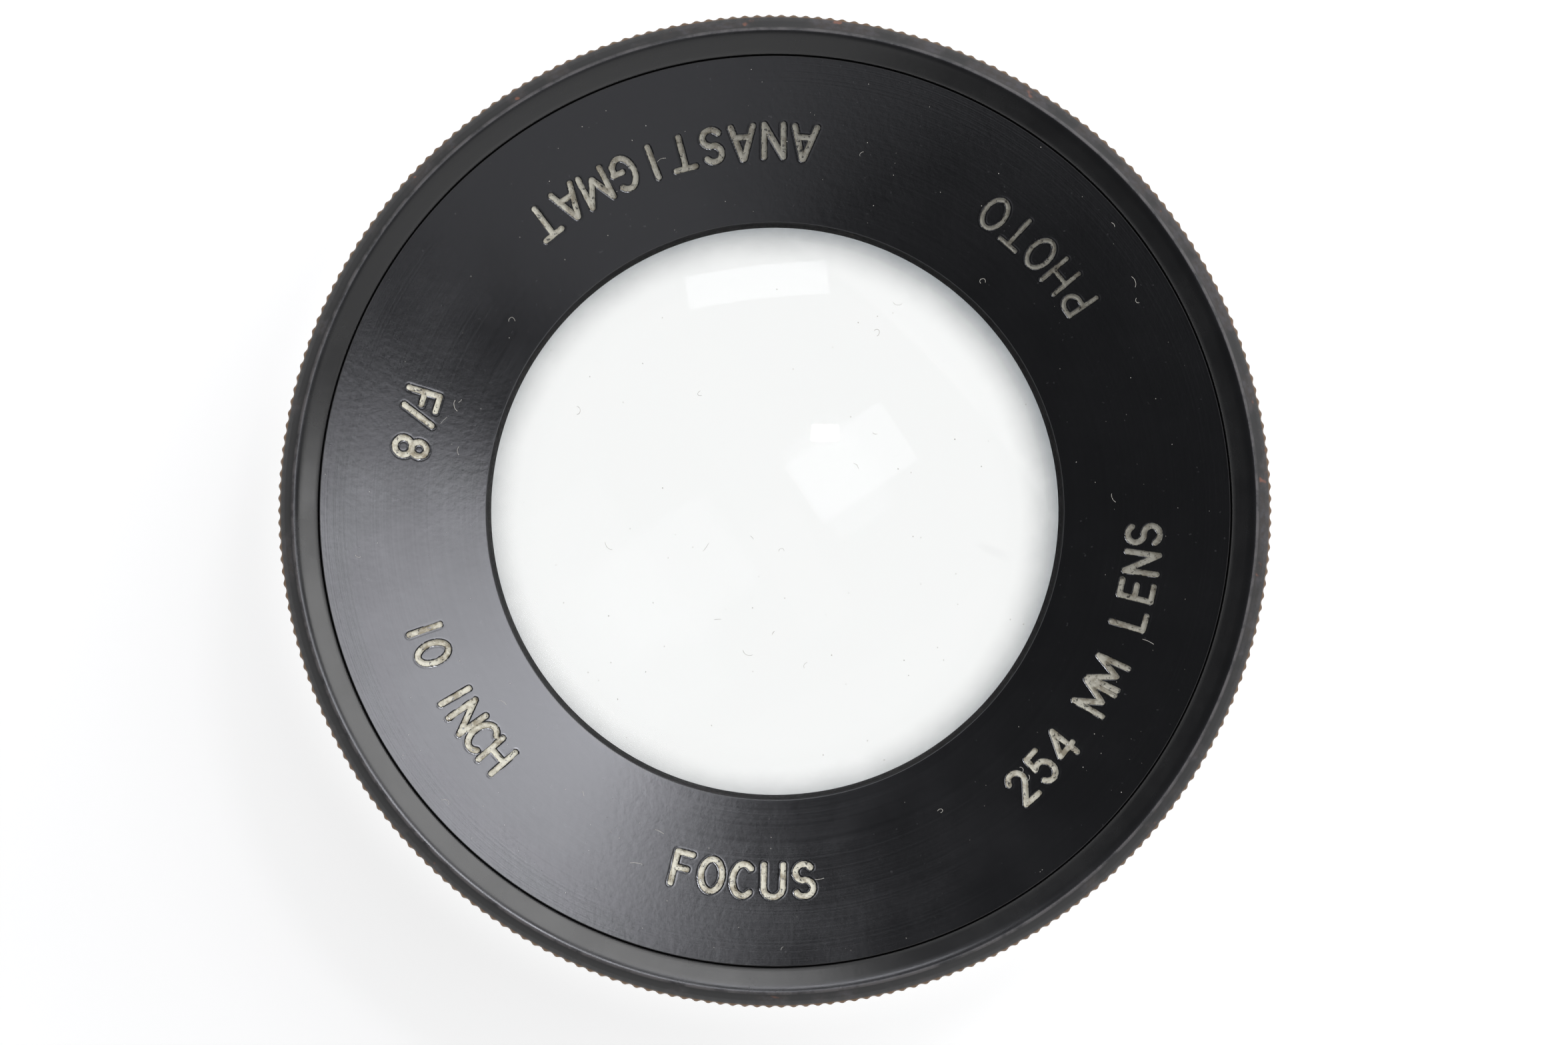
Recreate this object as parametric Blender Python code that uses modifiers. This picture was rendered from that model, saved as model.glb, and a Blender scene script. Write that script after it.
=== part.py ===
"""Enlarger lens in a barrel mount, with a knurled iris setting ring at the front.

The optical axis is +Z and the front glass faces up. The lens stands on the rim of its
rear cell, and the origin is the centre of that rim. All sizes are in metres.
"""

import math

import bmesh
import bpy
from mathutils import Matrix

MM = 0.001

# Driving sizes of the outside
LENS_HEIGHT = 42.0 * MM
RIM_RADIUS = 31.0 * MM
SKIRT_RADIUS = 29.6 * MM
FACE_RADIUS = 28.5 * MM
FACE_RECESS = 0.9 * MM
FACE_DISH = 1.1 * MM
BARREL_RADIUS = 27.6 * MM
THREAD_RADIUS = 25.4 * MM
REAR_RIM_RADIUS = 24.0 * MM

# Gaps between pieces
GAP = 0.3 * MM
RUNNING_GAP = 0.15 * MM
JOINT_LINE = 0.12 * MM

# Heights of the main steps, from the rear rim up
BARREL_REAR_Z = 2.1 * MM
SEAT_Z = 13.0 * MM
COLLAR_TOP_Z = 17.5 * MM
SKIRT_TOP_Z = 28.6 * MM
BARREL_FRONT_Z = 39.0 * MM
FACE_Z = LENS_HEIGHT - FACE_RECESS

# Rim of the setting ring: steps of the flank (out from the recess, up from the face),
# the rounded lip, the knurled band and the neck behind it
FLANK_STEPS = ((0.0, -0.05 * MM), (0.45 * MM, 0.2 * MM), (0.9 * MM, 0.52 * MM))
LIP_ROUND = 0.18 * MM
LIP_RADIUS = 30.02 * MM
KNURL_TOP_Z = LENS_HEIGHT - 1.0 * MM
KNURL_REAR_Z = SKIRT_TOP_Z + 0.9 * MM
NECK_DEPTH = 0.5 * MM
NECK_HALF_WIDTH = 0.4 * MM

# Bores of the barrel
CHAMBER_RADIUS = 26.0 * MM
SEPTUM_RADIUS = 16.9 * MM
SEPTUM_Z = 16.4 * MM
CHAMBER_Z = 17.9 * MM
REAR_BORE_RADIUS = 22.3 * MM
REAR_BORE_TOP_Z = 13.2 * MM
BAFFLE_RADIUS = 20.0 * MM

# Glasses: rim radius, curvature radii (positive is convex outwards), vertex heights
FRONT_GLASS_RADIUS = 18.6 * MM
FRONT_GLASS_Z = (36.4 * MM, 41.7 * MM)
FRONT_GLASS_CURVES = (220.0 * MM, 52.0 * MM)
MIDDLE_GLASS_RADIUS = 17.9 * MM
MIDDLE_GLASS_Z = (29.25 * MM, 31.05 * MM)
MIDDLE_GLASS_CURVES = (-130.0 * MM, -260.0 * MM)
REAR_GLASS_RADIUS = 19.0 * MM
CROWN_Z = (1.3 * MM, 8.1 * MM)
CROWN_CURVES = (96.0 * MM, 58.0 * MM)
FLINT_Z = (8.2 * MM, 10.2 * MM)
FLINT_CURVES = (-58.0 * MM, -500.0 * MM)

# Seats, lips and retaining rings of the cells
FRONT_LIP_RADIUS = 17.75 * MM
FRONT_LIP_Z = 39.2 * MM
FACE_INNER_RADIUS = 18.3 * MM
FRONT_SEAT_RADIUS = 17.9 * MM
FRONT_SEAT_Z = 36.8 * MM
CELL_COLLAR_Z = 33.5 * MM
CELL_TUBE_RADIUS = 19.2 * MM
CELL_TUBE_Z = 25.0 * MM
SHOULDER_RADIUS = 17.3 * MM
SHOULDER_Z = 32.0 * MM
MIDDLE_RING_Z = (26.4 * MM, 27.6 * MM)
MIDDLE_RING_INNER = 17.1 * MM
REAR_SEAT_Z = 10.9 * MM
REAR_SEAT_RADIUS = 15.8 * MM
REAR_CELL_TOP_Z = 12.6 * MM
REAR_CELL_MOUTH = 17.4 * MM
REAR_RING_Z = (1.0 * MM, 2.6 * MM)
REAR_RING_INNER = 17.7 * MM
SPANNER_SLOT_WIDTH = 1.2 * MM

# Iris: twelve blades between a fixed base plate and a turning drive ring
BLADE_COUNT = 12
RING_TURN = math.radians(45.0)
BLADE_RATIO = 0.72
PIVOT_CIRCLE = 23.2 * MM
BLADE_INNER = 16.6 * MM
BLADE_OUTER = 21.5 * MM
BLADE_SPAN = math.radians(140.0)
HEEL_INNER_ANGLE = math.radians(-6.0)
HEEL_OUTER_ANGLE = math.radians(7.0)
EAR_START = math.radians(-160.0)
EAR_BEND = math.radians(-20.0)
EAR_END = math.radians(110.0)
BLADE_THICKNESS = 0.12 * MM
BLADE_PITCH = 0.25 * MM
BLADE_Z = 19.25 * MM
PIN_RADIUS = 0.35 * MM
PIN_CLEARANCE = 0.08 * MM
PIN_ARM = 5.0 * MM
PIN_ARM_ANGLE = math.radians(-108.8)
EAR_RADIUS = 0.8 * MM
PIN_FOOT_Z = 18.35 * MM
PIN_HEAD_Z = 22.8 * MM
BASE_PLATE_Z = (18.2 * MM, 19.0 * MM)
DRIVE_PLATE_Z = (22.35 * MM, 23.15 * MM)
DRIVE_WALL_TOP_Z = 26.2 * MM
DRIVE_RING_RADIUS = 25.8 * MM
DRIVE_WALL_INNER = 24.9 * MM
IRIS_PLATE_INNER = 16.9 * MM
SPRING_RING_HEIGHT = 0.9 * MM
SPRING_RING_INNER = 23.6 * MM
SPRING_RING_SPLIT = 1.5 * MM

# Drive screw, which joins the setting ring to the drive ring
SCREW_Z = 24.9 * MM
SCREW_ANGLE = math.radians(67.5)
SCREW_SHANK = 0.9 * MM
SCREW_HEAD = 1.7 * MM
SCREW_HEAD_HEIGHT = 0.75 * MM
SCREW_TOP_RADIUS = 29.45 * MM
SCREW_TIP_RADIUS = 24.7 * MM
DRIVER_SLOT_WIDTH = 0.5 * MM
DRIVER_SLOT_DEPTH = 0.4 * MM

# Ring that clamps the lens board against the collar
BOARD_RING_Z = (4.6 * MM, 7.6 * MM)
BOARD_RING_RADIUS = 30.2 * MM
GRIP_NOTCHES = 6
GRIP_NOTCH_RADIUS = 1.5 * MM

# Segments round the axis
OUTER_SEGMENTS = 60
INNER_SEGMENTS = 40
GLASS_SEGMENTS = 32
SCREW_SEGMENTS = 16
PIN_SEGMENTS = 8

COLLECTION = "enlarger_lens"
CUTTERS = "cutters"


def clear_scene():
    for old in list(bpy.data.objects):
        bpy.data.objects.remove(old, do_unlink=True)
    for name in (COLLECTION, CUTTERS):
        collection = bpy.data.collections.new(name)
        bpy.context.scene.collection.children.link(collection)


def make_material(name, colour, roughness, metallic=0.0, transmission=0.0):
    material = bpy.data.materials.new(name)
    material.use_nodes = True
    shader = material.node_tree.nodes["Principled BSDF"]
    shader.inputs["Base Color"].default_value = (*colour, 1.0)
    shader.inputs["Roughness"].default_value = roughness
    shader.inputs["Metallic"].default_value = metallic
    shader.inputs["Transmission Weight"].default_value = transmission
    return material


def make_materials():
    return {
        "lacquer": make_material("black_lacquer", (0.016, 0.016, 0.018), 0.35),
        "worn_lacquer": make_material("worn_lacquer", (0.03, 0.028, 0.027), 0.4, 0.3),
        "flat_black": make_material("flat_black", (0.01, 0.01, 0.01), 0.8),
        "blade_steel": make_material("blade_steel", (0.05, 0.055, 0.065), 0.45, 0.8),
        "brass": make_material("brass", (0.70, 0.52, 0.26), 0.35, 1.0),
        "glass": make_material("glass", (0.95, 0.97, 0.98), 0.0, 0.0, 1.0),
    }


def place(mesh, name, material, cutter=False):
    """Link a mesh to the scene as a named piece, or as a hidden cutter."""
    piece = bpy.data.objects.new(name, mesh)
    bpy.data.collections[CUTTERS if cutter else COLLECTION].objects.link(piece)
    if cutter:
        piece.hide_render = True
        piece.display_type = "WIRE"
    else:
        mesh.materials.append(material)
    return piece


def smooth(mesh, angle=35.0):
    mesh.shade_smooth()
    mesh.set_sharp_from_angle(angle=math.radians(angle))


def turned(name, profile, segments, material=None, closed=True, cutter=False):
    """A turned piece. The profile is (radius, height) and runs down its outer side first."""
    mesh = bpy.data.meshes.new(name)
    edges = [(i, i + 1) for i in range(len(profile) - 1)]
    if closed:
        edges.append((len(profile) - 1, 0))
    mesh.from_pydata([(r, 0.0, z) for r, z in profile], edges, [])
    piece = place(mesh, name, material, cutter)
    screw = piece.modifiers.new("turn", "SCREW")
    screw.axis = "Z"
    screw.angle = 2.0 * math.pi
    screw.steps = segments
    screw.render_steps = segments
    screw.use_merge_vertices = True
    screw.merge_threshold = 0.00001
    return apply_modifiers(piece)


def apply_modifiers(piece):
    """Replace a piece's mesh with what its modifiers make of it."""
    bpy.context.view_layer.update()
    evaluated = piece.evaluated_get(bpy.context.evaluated_depsgraph_get())
    mesh = bpy.data.meshes.new_from_object(evaluated)
    mesh.name = piece.name
    piece.modifiers.clear()
    piece.data = mesh
    smooth(mesh)
    return piece


def plate_mesh(name, outlines, thickness):
    """A flat plate from z 0 up: the first outline is its edge, the others are holes."""
    curve = bpy.data.curves.new(name, "CURVE")
    curve.dimensions = "2D"
    curve.fill_mode = "BOTH"
    curve.extrude = thickness / 2.0
    for outline in outlines:
        spline = curve.splines.new("POLY")
        spline.points.add(len(outline) - 1)
        for point, (x, y) in zip(spline.points, outline):
            point.co = (x, y, 0.0, 1.0)
        spline.use_cyclic_u = True
    guide = bpy.data.objects.new(name + "_outline", curve)
    bpy.data.collections[CUTTERS].objects.link(guide)
    bpy.context.view_layer.update()
    evaluated = guide.evaluated_get(bpy.context.evaluated_depsgraph_get())
    mesh = bpy.data.meshes.new_from_object(evaluated)
    bpy.data.objects.remove(guide, do_unlink=True)
    mesh.transform(Matrix.Translation((0.0, 0.0, thickness / 2.0)))
    work = bmesh.new()
    work.from_mesh(mesh)
    bmesh.ops.remove_doubles(work, verts=work.verts, dist=0.000001)
    bmesh.ops.recalc_face_normals(work, faces=work.faces)
    work.to_mesh(mesh)
    work.free()
    mesh.name = name
    smooth(mesh)
    return mesh


def cylinder(name, radius, bottom, top, centre=(0.0, 0.0), segments=PIN_SEGMENTS):
    """A plain cutter or pin along Z, kept with the cutters."""
    mesh = bpy.data.meshes.new(name)
    work = bmesh.new()
    middle = Matrix.Translation((centre[0], centre[1], (bottom + top) / 2.0))
    bmesh.ops.create_cone(work, cap_ends=True, segments=segments, radius1=radius,
                          radius2=radius, depth=top - bottom, matrix=middle)
    work.to_mesh(mesh)
    work.free()
    return place(mesh, name, None, cutter=True)


def box(name, size, centre):
    """A box cutter."""
    mesh = bpy.data.meshes.new(name)
    work = bmesh.new()
    bmesh.ops.create_cube(work, size=1.0, matrix=Matrix.Diagonal((*size, 1.0)))
    bmesh.ops.translate(work, verts=work.verts, vec=centre)
    work.to_mesh(mesh)
    work.free()
    return place(mesh, name, None, cutter=True)


def boolean(piece, other, operation):
    modifier = piece.modifiers.new(other.name, "BOOLEAN")
    modifier.operation = operation
    modifier.object = other


def arc(radius, start, end, count, centre=(0.0, 0.0)):
    """Points of a circular arc, both ends included."""
    step = (end - start) / (count - 1)
    angles = [start + step * i for i in range(count)]
    return [(centre[0] + radius * math.cos(a), centre[1] + radius * math.sin(a)) for a in angles]


def circle(radius, count, centre=(0.0, 0.0)):
    return arc(radius, 0.0, 2.0 * math.pi * (count - 1) / count, count, centre)


def sag(curve_radius, radius):
    """Height of a spherical surface's vertex over its points at a radius from the axis."""
    depth = abs(curve_radius) - math.sqrt(curve_radius ** 2 - radius ** 2)
    return math.copysign(depth, curve_radius)


def glass(name, radius, heights, curves, material, rings=4):
    """A lens between its rear and front vertex heights, given rear and front curvature."""
    steps = [radius * i / rings for i in range(rings + 1)]
    front = [(r, heights[1] - sag(curves[1], r)) for r in steps]
    rear = [(r, heights[0] + sag(curves[0], r)) for r in reversed(steps)]
    return turned(name, front + rear, GLASS_SEGMENTS, material, closed=False)


def make_barrel(materials):
    """Main tube: mounting thread at the rear, collar, ring bearing, iris chamber."""
    chamfer = 0.7 * MM
    edge = 0.4 * MM
    profile = [
        (BARREL_RADIUS, BARREL_FRONT_Z),
        (BARREL_RADIUS, COLLAR_TOP_Z),
        (SKIRT_RADIUS - edge, COLLAR_TOP_Z),
        (SKIRT_RADIUS, COLLAR_TOP_Z - edge),
        (SKIRT_RADIUS, SEAT_Z + edge),
        (SKIRT_RADIUS - edge, SEAT_Z),
        (THREAD_RADIUS, SEAT_Z),
        (THREAD_RADIUS, BARREL_REAR_Z + chamfer),
        (THREAD_RADIUS - chamfer, BARREL_REAR_Z),
        (REAR_BORE_RADIUS, BARREL_REAR_Z),
        (REAR_BORE_RADIUS, REAR_BORE_TOP_Z),
        (BAFFLE_RADIUS, REAR_BORE_TOP_Z),
        (BAFFLE_RADIUS, SEPTUM_Z),
        (SEPTUM_RADIUS, SEPTUM_Z),
        (SEPTUM_RADIUS, CHAMBER_Z),
        (CHAMBER_RADIUS, CHAMBER_Z),
        (CHAMBER_RADIUS, BARREL_FRONT_Z),
    ]
    barrel = turned("barrel", profile, OUTER_SEGMENTS, materials["lacquer"])
    margin = math.asin((SCREW_SHANK + GAP) / BARREL_RADIUS)
    start = SCREW_ANGLE - margin
    end = SCREW_ANGLE + RING_TURN + margin
    outline = arc(BARREL_RADIUS + MM, start, end, 17)
    outline += arc(CHAMBER_RADIUS - MM, end, start, 17)
    height = 2.0 * (SCREW_SHANK + GAP)
    slot = place(plate_mesh("screw_slot", [outline], height), "screw_slot", None, cutter=True)
    slot.location.z = SCREW_Z - height / 2.0
    boolean(barrel, slot, "DIFFERENCE")
    return barrel


def make_setting_ring(materials):
    """Knurled front ring with a raised, rounded rim and a long skirt for the scale."""
    bore = BARREL_RADIUS + RUNNING_GAP
    recess = FACE_RADIUS + JOINT_LINE
    neck = SKIRT_RADIUS - NECK_DEPTH
    foot = COLLAR_TOP_Z + GAP
    chamfer = 0.3 * MM
    edge = 0.1 * MM
    flank = [(recess + outward, FACE_Z + up) for outward, up in FLANK_STEPS]
    lip = arc(LIP_ROUND, math.radians(135.0), math.radians(45.0), 3,
              (LIP_RADIUS, LENS_HEIGHT - LIP_ROUND))
    profile = flank + lip + [
        (RIM_RADIUS - edge, KNURL_TOP_Z + 1.5 * edge),
        (RIM_RADIUS, KNURL_TOP_Z),
        (RIM_RADIUS, KNURL_REAR_Z),
        (RIM_RADIUS - NECK_DEPTH, SKIRT_TOP_Z + NECK_HALF_WIDTH),
        (neck, SKIRT_TOP_Z + NECK_HALF_WIDTH),
        (neck, SKIRT_TOP_Z - NECK_HALF_WIDTH),
        (SKIRT_RADIUS, SKIRT_TOP_Z - NECK_HALF_WIDTH - NECK_DEPTH),
        (SKIRT_RADIUS, foot + chamfer),
        (SKIRT_RADIUS - chamfer, foot),
        (bore, foot),
        (bore, BARREL_FRONT_Z),
        (recess, BARREL_FRONT_Z),
    ]
    ring = turned("setting_ring", profile, OUTER_SEGMENTS, materials["worn_lacquer"])
    boolean(ring, screw_shape("screw_hole", GAP, None, cutter=True), "DIFFERENCE")
    return ring


def screw_shape(name, allowance, material, cutter=False):
    """The drive screw, or with an allowance the hole it goes in, pointing inwards."""
    mouth = SKIRT_RADIUS + MM if cutter else SCREW_TOP_RADIUS
    seat = SCREW_TOP_RADIUS - SCREW_HEAD_HEIGHT - allowance
    profile = [
        (0.0, mouth),
        (SCREW_HEAD + allowance, mouth),
        (SCREW_HEAD + allowance, seat),
        (SCREW_SHANK + allowance, seat),
        (SCREW_SHANK + allowance, SCREW_TIP_RADIUS),
        (0.0, SCREW_TIP_RADIUS),
    ]
    piece = turned(name, profile, SCREW_SEGMENTS, material, closed=False, cutter=cutter)
    piece.rotation_euler = (0.0, math.pi / 2.0, SCREW_ANGLE)
    piece.location.z = SCREW_Z
    return piece


def make_drive_screw(materials):
    screw = screw_shape("drive_screw", 0.0, materials["brass"])
    slot = box("driver_slot", (DRIVER_SLOT_WIDTH, 3.0 * SCREW_HEAD, 2.0 * DRIVER_SLOT_DEPTH),
               (0.0, 0.0, SCREW_TOP_RADIUS))
    slot.parent = screw
    boolean(screw, slot, "DIFFERENCE")
    return screw


def make_front_cell(materials):
    """Slightly dished face, burnished lip over the front glass, thread collar and tube."""
    glass_bore = FRONT_GLASS_RADIUS + GAP
    middle_bore = MIDDLE_GLASS_RADIUS + GAP
    collar = CHAMBER_RADIUS - GAP
    edge = 0.08 * MM
    lip_thickness = 0.3 * MM
    profile = [
        (FACE_RADIUS - edge, FACE_Z),
        (FACE_RADIUS, FACE_Z - edge),
        (FACE_RADIUS, BARREL_FRONT_Z + GAP),
        (collar, BARREL_FRONT_Z + GAP),
        (collar, CELL_COLLAR_Z),
        (CELL_TUBE_RADIUS, CELL_COLLAR_Z),
        (CELL_TUBE_RADIUS, CELL_TUBE_Z),
        (middle_bore, CELL_TUBE_Z),
        (middle_bore, SHOULDER_Z),
        (SHOULDER_RADIUS, SHOULDER_Z),
        (FRONT_SEAT_RADIUS, FRONT_SEAT_Z),
        (glass_bore, FRONT_SEAT_Z),
        (glass_bore, FRONT_LIP_Z - lip_thickness),
        (FRONT_LIP_RADIUS, FRONT_LIP_Z),
        (FACE_INNER_RADIUS, FACE_Z - FACE_DISH),
    ]
    return turned("front_cell", profile, OUTER_SEGMENTS, materials["lacquer"])


def slotted_ring(name, outer, inner, heights, material):
    """A thin threaded retaining ring with two spanner slots across it."""
    edge = 0.15 * MM
    profile = [
        (outer, heights[1]),
        (outer, heights[0] + edge),
        (outer - edge, heights[0]),
        (inner, heights[0]),
        (inner, heights[1]),
    ]
    ring = turned(name, profile, INNER_SEGMENTS, material)
    depth = (heights[1] - heights[0]) * 0.5
    slot = box(name + "_slots", (2.5 * outer, SPANNER_SLOT_WIDTH, 2.0 * depth),
               (0.0, 0.0, heights[0]))
    boolean(ring, slot, "DIFFERENCE")
    return ring


def make_front_glasses(materials):
    glass("front_lens", FRONT_GLASS_RADIUS, FRONT_GLASS_Z, FRONT_GLASS_CURVES,
          materials["glass"])
    glass("middle_lens", MIDDLE_GLASS_RADIUS, MIDDLE_GLASS_Z, MIDDLE_GLASS_CURVES,
          materials["glass"])
    slotted_ring("middle_retaining_ring", MIDDLE_GLASS_RADIUS, MIDDLE_RING_INNER,
                 MIDDLE_RING_Z, materials["flat_black"])


def make_rear_group(materials):
    """Rear cell, the cemented pair and the ring that holds it."""
    bore = REAR_GLASS_RADIUS + GAP
    tube = REAR_BORE_RADIUS - GAP
    flange_z = BARREL_REAR_Z - GAP
    edge = 0.3 * MM
    chamfer = 0.9 * MM
    profile = [
        (tube, REAR_CELL_TOP_Z),
        (tube, flange_z),
        (REAR_RIM_RADIUS, flange_z),
        (REAR_RIM_RADIUS, edge),
        (REAR_RIM_RADIUS - edge, 0.0),
        (bore + chamfer, 0.0),
        (bore, chamfer),
        (bore, REAR_SEAT_Z),
        (REAR_SEAT_RADIUS, REAR_SEAT_Z),
        (REAR_CELL_MOUTH, REAR_CELL_TOP_Z),
    ]
    turned("rear_cell", profile, INNER_SEGMENTS, materials["lacquer"])
    glass("rear_crown_lens", REAR_GLASS_RADIUS, CROWN_Z, CROWN_CURVES, materials["glass"])
    glass("rear_flint_lens", REAR_GLASS_RADIUS, FLINT_Z, FLINT_CURVES, materials["glass"])
    slotted_ring("rear_retaining_ring", REAR_GLASS_RADIUS, REAR_RING_INNER, REAR_RING_Z,
                 materials["flat_black"])


def make_board_ring(materials):
    """Ring on the rear thread that clamps the lens board, with grip notches."""
    bore = THREAD_RADIUS + GAP
    edge = 0.4 * MM
    low, high = BOARD_RING_Z
    profile = [
        (BOARD_RING_RADIUS - edge, high),
        (BOARD_RING_RADIUS, high - edge),
        (BOARD_RING_RADIUS, low + edge),
        (BOARD_RING_RADIUS - edge, low),
        (bore, low),
        (bore, high),
    ]
    ring = turned("lens_board_ring", profile, OUTER_SEGMENTS, materials["lacquer"])
    for i in range(GRIP_NOTCHES):
        angle = 2.0 * math.pi * (i + 0.5) / GRIP_NOTCHES
        centre = (BOARD_RING_RADIUS * math.cos(angle), BOARD_RING_RADIUS * math.sin(angle))
        notch = cylinder(f"grip_notch_{i + 1}", GRIP_NOTCH_RADIUS, low - MM, high + MM,
                         centre, 12)
        boolean(ring, notch, "DIFFERENCE")
    return ring


def arm_point(swing):
    """Drive pin of the blade pivoted on +X, after the blade has swung by an angle."""
    angle = PIN_ARM_ANGLE + swing
    return (PIVOT_CIRCLE + PIN_ARM * math.cos(angle), PIN_ARM * math.sin(angle))


def turn(point, angle):
    """Turn a point about the optical axis."""
    x, y = point
    return (x * math.cos(angle) - y * math.sin(angle), x * math.sin(angle) + y * math.cos(angle))


def beside(point, distance, direction):
    """The point at a distance from another one, in a direction."""
    x, y = point
    return (x + distance * math.cos(direction), y + distance * math.sin(direction))


def cam_slot(offset, half_width, count=9):
    """Outline of one cam slot: the drive pin's path as the drive ring sees it."""
    path = []
    for i in range(count):
        ring_angle = RING_TURN * i / (count - 1)
        path.append(turn(arm_point(BLADE_RATIO * ring_angle), offset - ring_angle))
    directions = []
    for i in range(count):
        before, after = path[max(i - 1, 0)], path[min(i + 1, count - 1)]
        directions.append(math.atan2(after[1] - before[1], after[0] - before[0]))
    quarter = math.pi / 2.0
    outline = []
    for point, direction in zip(path[1:-1], directions[1:-1]):
        outline.append(beside(point, half_width, direction - quarter))
    outline += arc(half_width, directions[-1] - quarter, directions[-1] + quarter, 5, path[-1])
    for point, direction in zip(path[-2:0:-1], directions[-2:0:-1]):
        outline.append(beside(point, half_width, direction + quarter))
    outline += arc(half_width, directions[0] + quarter, directions[0] + 3.0 * quarter, 5, path[0])
    return outline


def make_iris_plates(materials):
    """Fixed base plate with the pivot holes, and the drive ring with its cam slots."""
    hole = PIN_RADIUS + PIN_CLEARANCE
    pitch = 2.0 * math.pi / BLADE_COUNT
    holes = [circle(hole, 10, turn((PIVOT_CIRCLE, 0.0), pitch * i)) for i in range(BLADE_COUNT)]
    edge = circle(CHAMBER_RADIUS - GAP, INNER_SEGMENTS)
    mouth = circle(IRIS_PLATE_INNER, INNER_SEGMENTS)
    thickness = BASE_PLATE_Z[1] - BASE_PLATE_Z[0]
    base = place(plate_mesh("iris_base_plate", [edge, mouth] + holes, thickness),
                 "iris_base_plate", materials["flat_black"])
    base.location.z = BASE_PLATE_Z[0]

    slots = [cam_slot(pitch * i, hole) for i in range(BLADE_COUNT)]
    edge = circle(DRIVE_RING_RADIUS, INNER_SEGMENTS)
    thickness = DRIVE_PLATE_Z[1] - DRIVE_PLATE_Z[0]
    drive = place(plate_mesh("iris_drive_ring", [edge, mouth] + slots, thickness),
                  "iris_drive_ring", materials["brass"])
    drive.location.z = DRIVE_PLATE_Z[0]
    overlap = 0.1 * MM
    wall_outer = DRIVE_RING_RADIUS - overlap / 2.0
    wall = turned("drive_ring_wall", [
        (wall_outer, DRIVE_WALL_TOP_Z),
        (wall_outer, DRIVE_PLATE_Z[1] - overlap),
        (DRIVE_WALL_INNER, DRIVE_PLATE_Z[1] - overlap),
        (DRIVE_WALL_INNER, DRIVE_WALL_TOP_Z),
    ], INNER_SEGMENTS, cutter=True)
    boolean(drive, wall, "UNION")
    half_notch = SCREW_SHANK + GAP
    height = DRIVE_WALL_TOP_Z - SCREW_Z + half_notch + MM
    notch = box("screw_notch", (4.0 * MM, 2.0 * half_notch, height),
                (DRIVE_RING_RADIUS, 0.0, SCREW_Z - half_notch + height / 2.0))
    notch.rotation_euler.z = SCREW_ANGLE
    boolean(drive, notch, "DIFFERENCE")
    return base, drive


def make_blade(index, materials):
    """One blade: a crescent with an ear, a pivot pin below and a drive pin above."""
    name = f"iris_blade_{index + 1:02d}"
    pin_x, pin_y = arm_point(0.0)
    end = BLADE_SPAN
    middle = (BLADE_INNER + BLADE_OUTER) / 2.0
    half = (BLADE_OUTER - BLADE_INNER) / 2.0
    head_centre = (middle * math.cos(end), middle * math.sin(end))
    outline = arc(BLADE_INNER, end, HEEL_INNER_ANGLE, 16)
    outline += arc(EAR_RADIUS, EAR_START, EAR_BEND, 5, (pin_x, pin_y))
    outline += arc(EAR_RADIUS, EAR_BEND, EAR_END, 5, (PIVOT_CIRCLE, 0.0))
    outline += arc(BLADE_OUTER, HEEL_OUTER_ANGLE, end, 16)
    outline += arc(half, end, end + math.pi, 6, head_centre)[1:-1]
    outline = [(x - PIVOT_CIRCLE, y) for x, y in outline]
    blade = place(plate_mesh(name, [outline], BLADE_THICKNESS), name,
                  materials["blade_steel"])
    angle = 2.0 * math.pi * index / BLADE_COUNT
    level = BLADE_Z + BLADE_PITCH * index
    pivot = (PIVOT_CIRCLE * math.cos(angle), PIVOT_CIRCLE * math.sin(angle), level)
    blade.location = pivot
    blade.rotation_euler.z = angle
    foot = PIN_FOOT_Z - level
    head = PIN_HEAD_Z - level
    inside = BLADE_THICKNESS * 0.75
    pins = (
        cylinder(name + "_pivot_pin", PIN_RADIUS, foot, inside),
        cylinder(name + "_drive_pin", PIN_RADIUS, BLADE_THICKNESS - inside, head,
                 (pin_x - PIVOT_CIRCLE, pin_y)),
    )
    for pin in pins:
        pin.parent = blade
        boolean(blade, pin, "UNION")
    return blade


def make_iris_retaining_ring(materials):
    """Split spring ring that holds the iris pack down."""
    bottom = DRIVE_WALL_TOP_Z + GAP
    top = bottom + SPRING_RING_HEIGHT
    outer = CHAMBER_RADIUS - GAP
    ring = turned("iris_retaining_ring", [
        (outer, top),
        (outer, bottom),
        (SPRING_RING_INNER, bottom),
        (SPRING_RING_INNER, top),
    ], INNER_SEGMENTS, materials["blade_steel"])
    split = box("ring_split", (6.0 * MM, SPRING_RING_SPLIT, 2.0 * (top - bottom)),
                (outer - MM, 0.0, (bottom + top) / 2.0))
    boolean(ring, split, "DIFFERENCE")
    return ring


def main():
    clear_scene()
    materials = make_materials()
    make_barrel(materials)
    make_setting_ring(materials)
    make_drive_screw(materials)
    make_front_cell(materials)
    make_front_glasses(materials)
    make_iris_plates(materials)
    for index in range(BLADE_COUNT):
        make_blade(index, materials)
    make_iris_retaining_ring(materials)
    make_rear_group(materials)
    make_board_ring(materials)


main()
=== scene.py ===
"""Looks of the enlarger lens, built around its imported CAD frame. All lengths are in metres."""

import math
import random

import bmesh
import bpy
import numpy as np
from mathutils import Matrix, Vector


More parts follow.
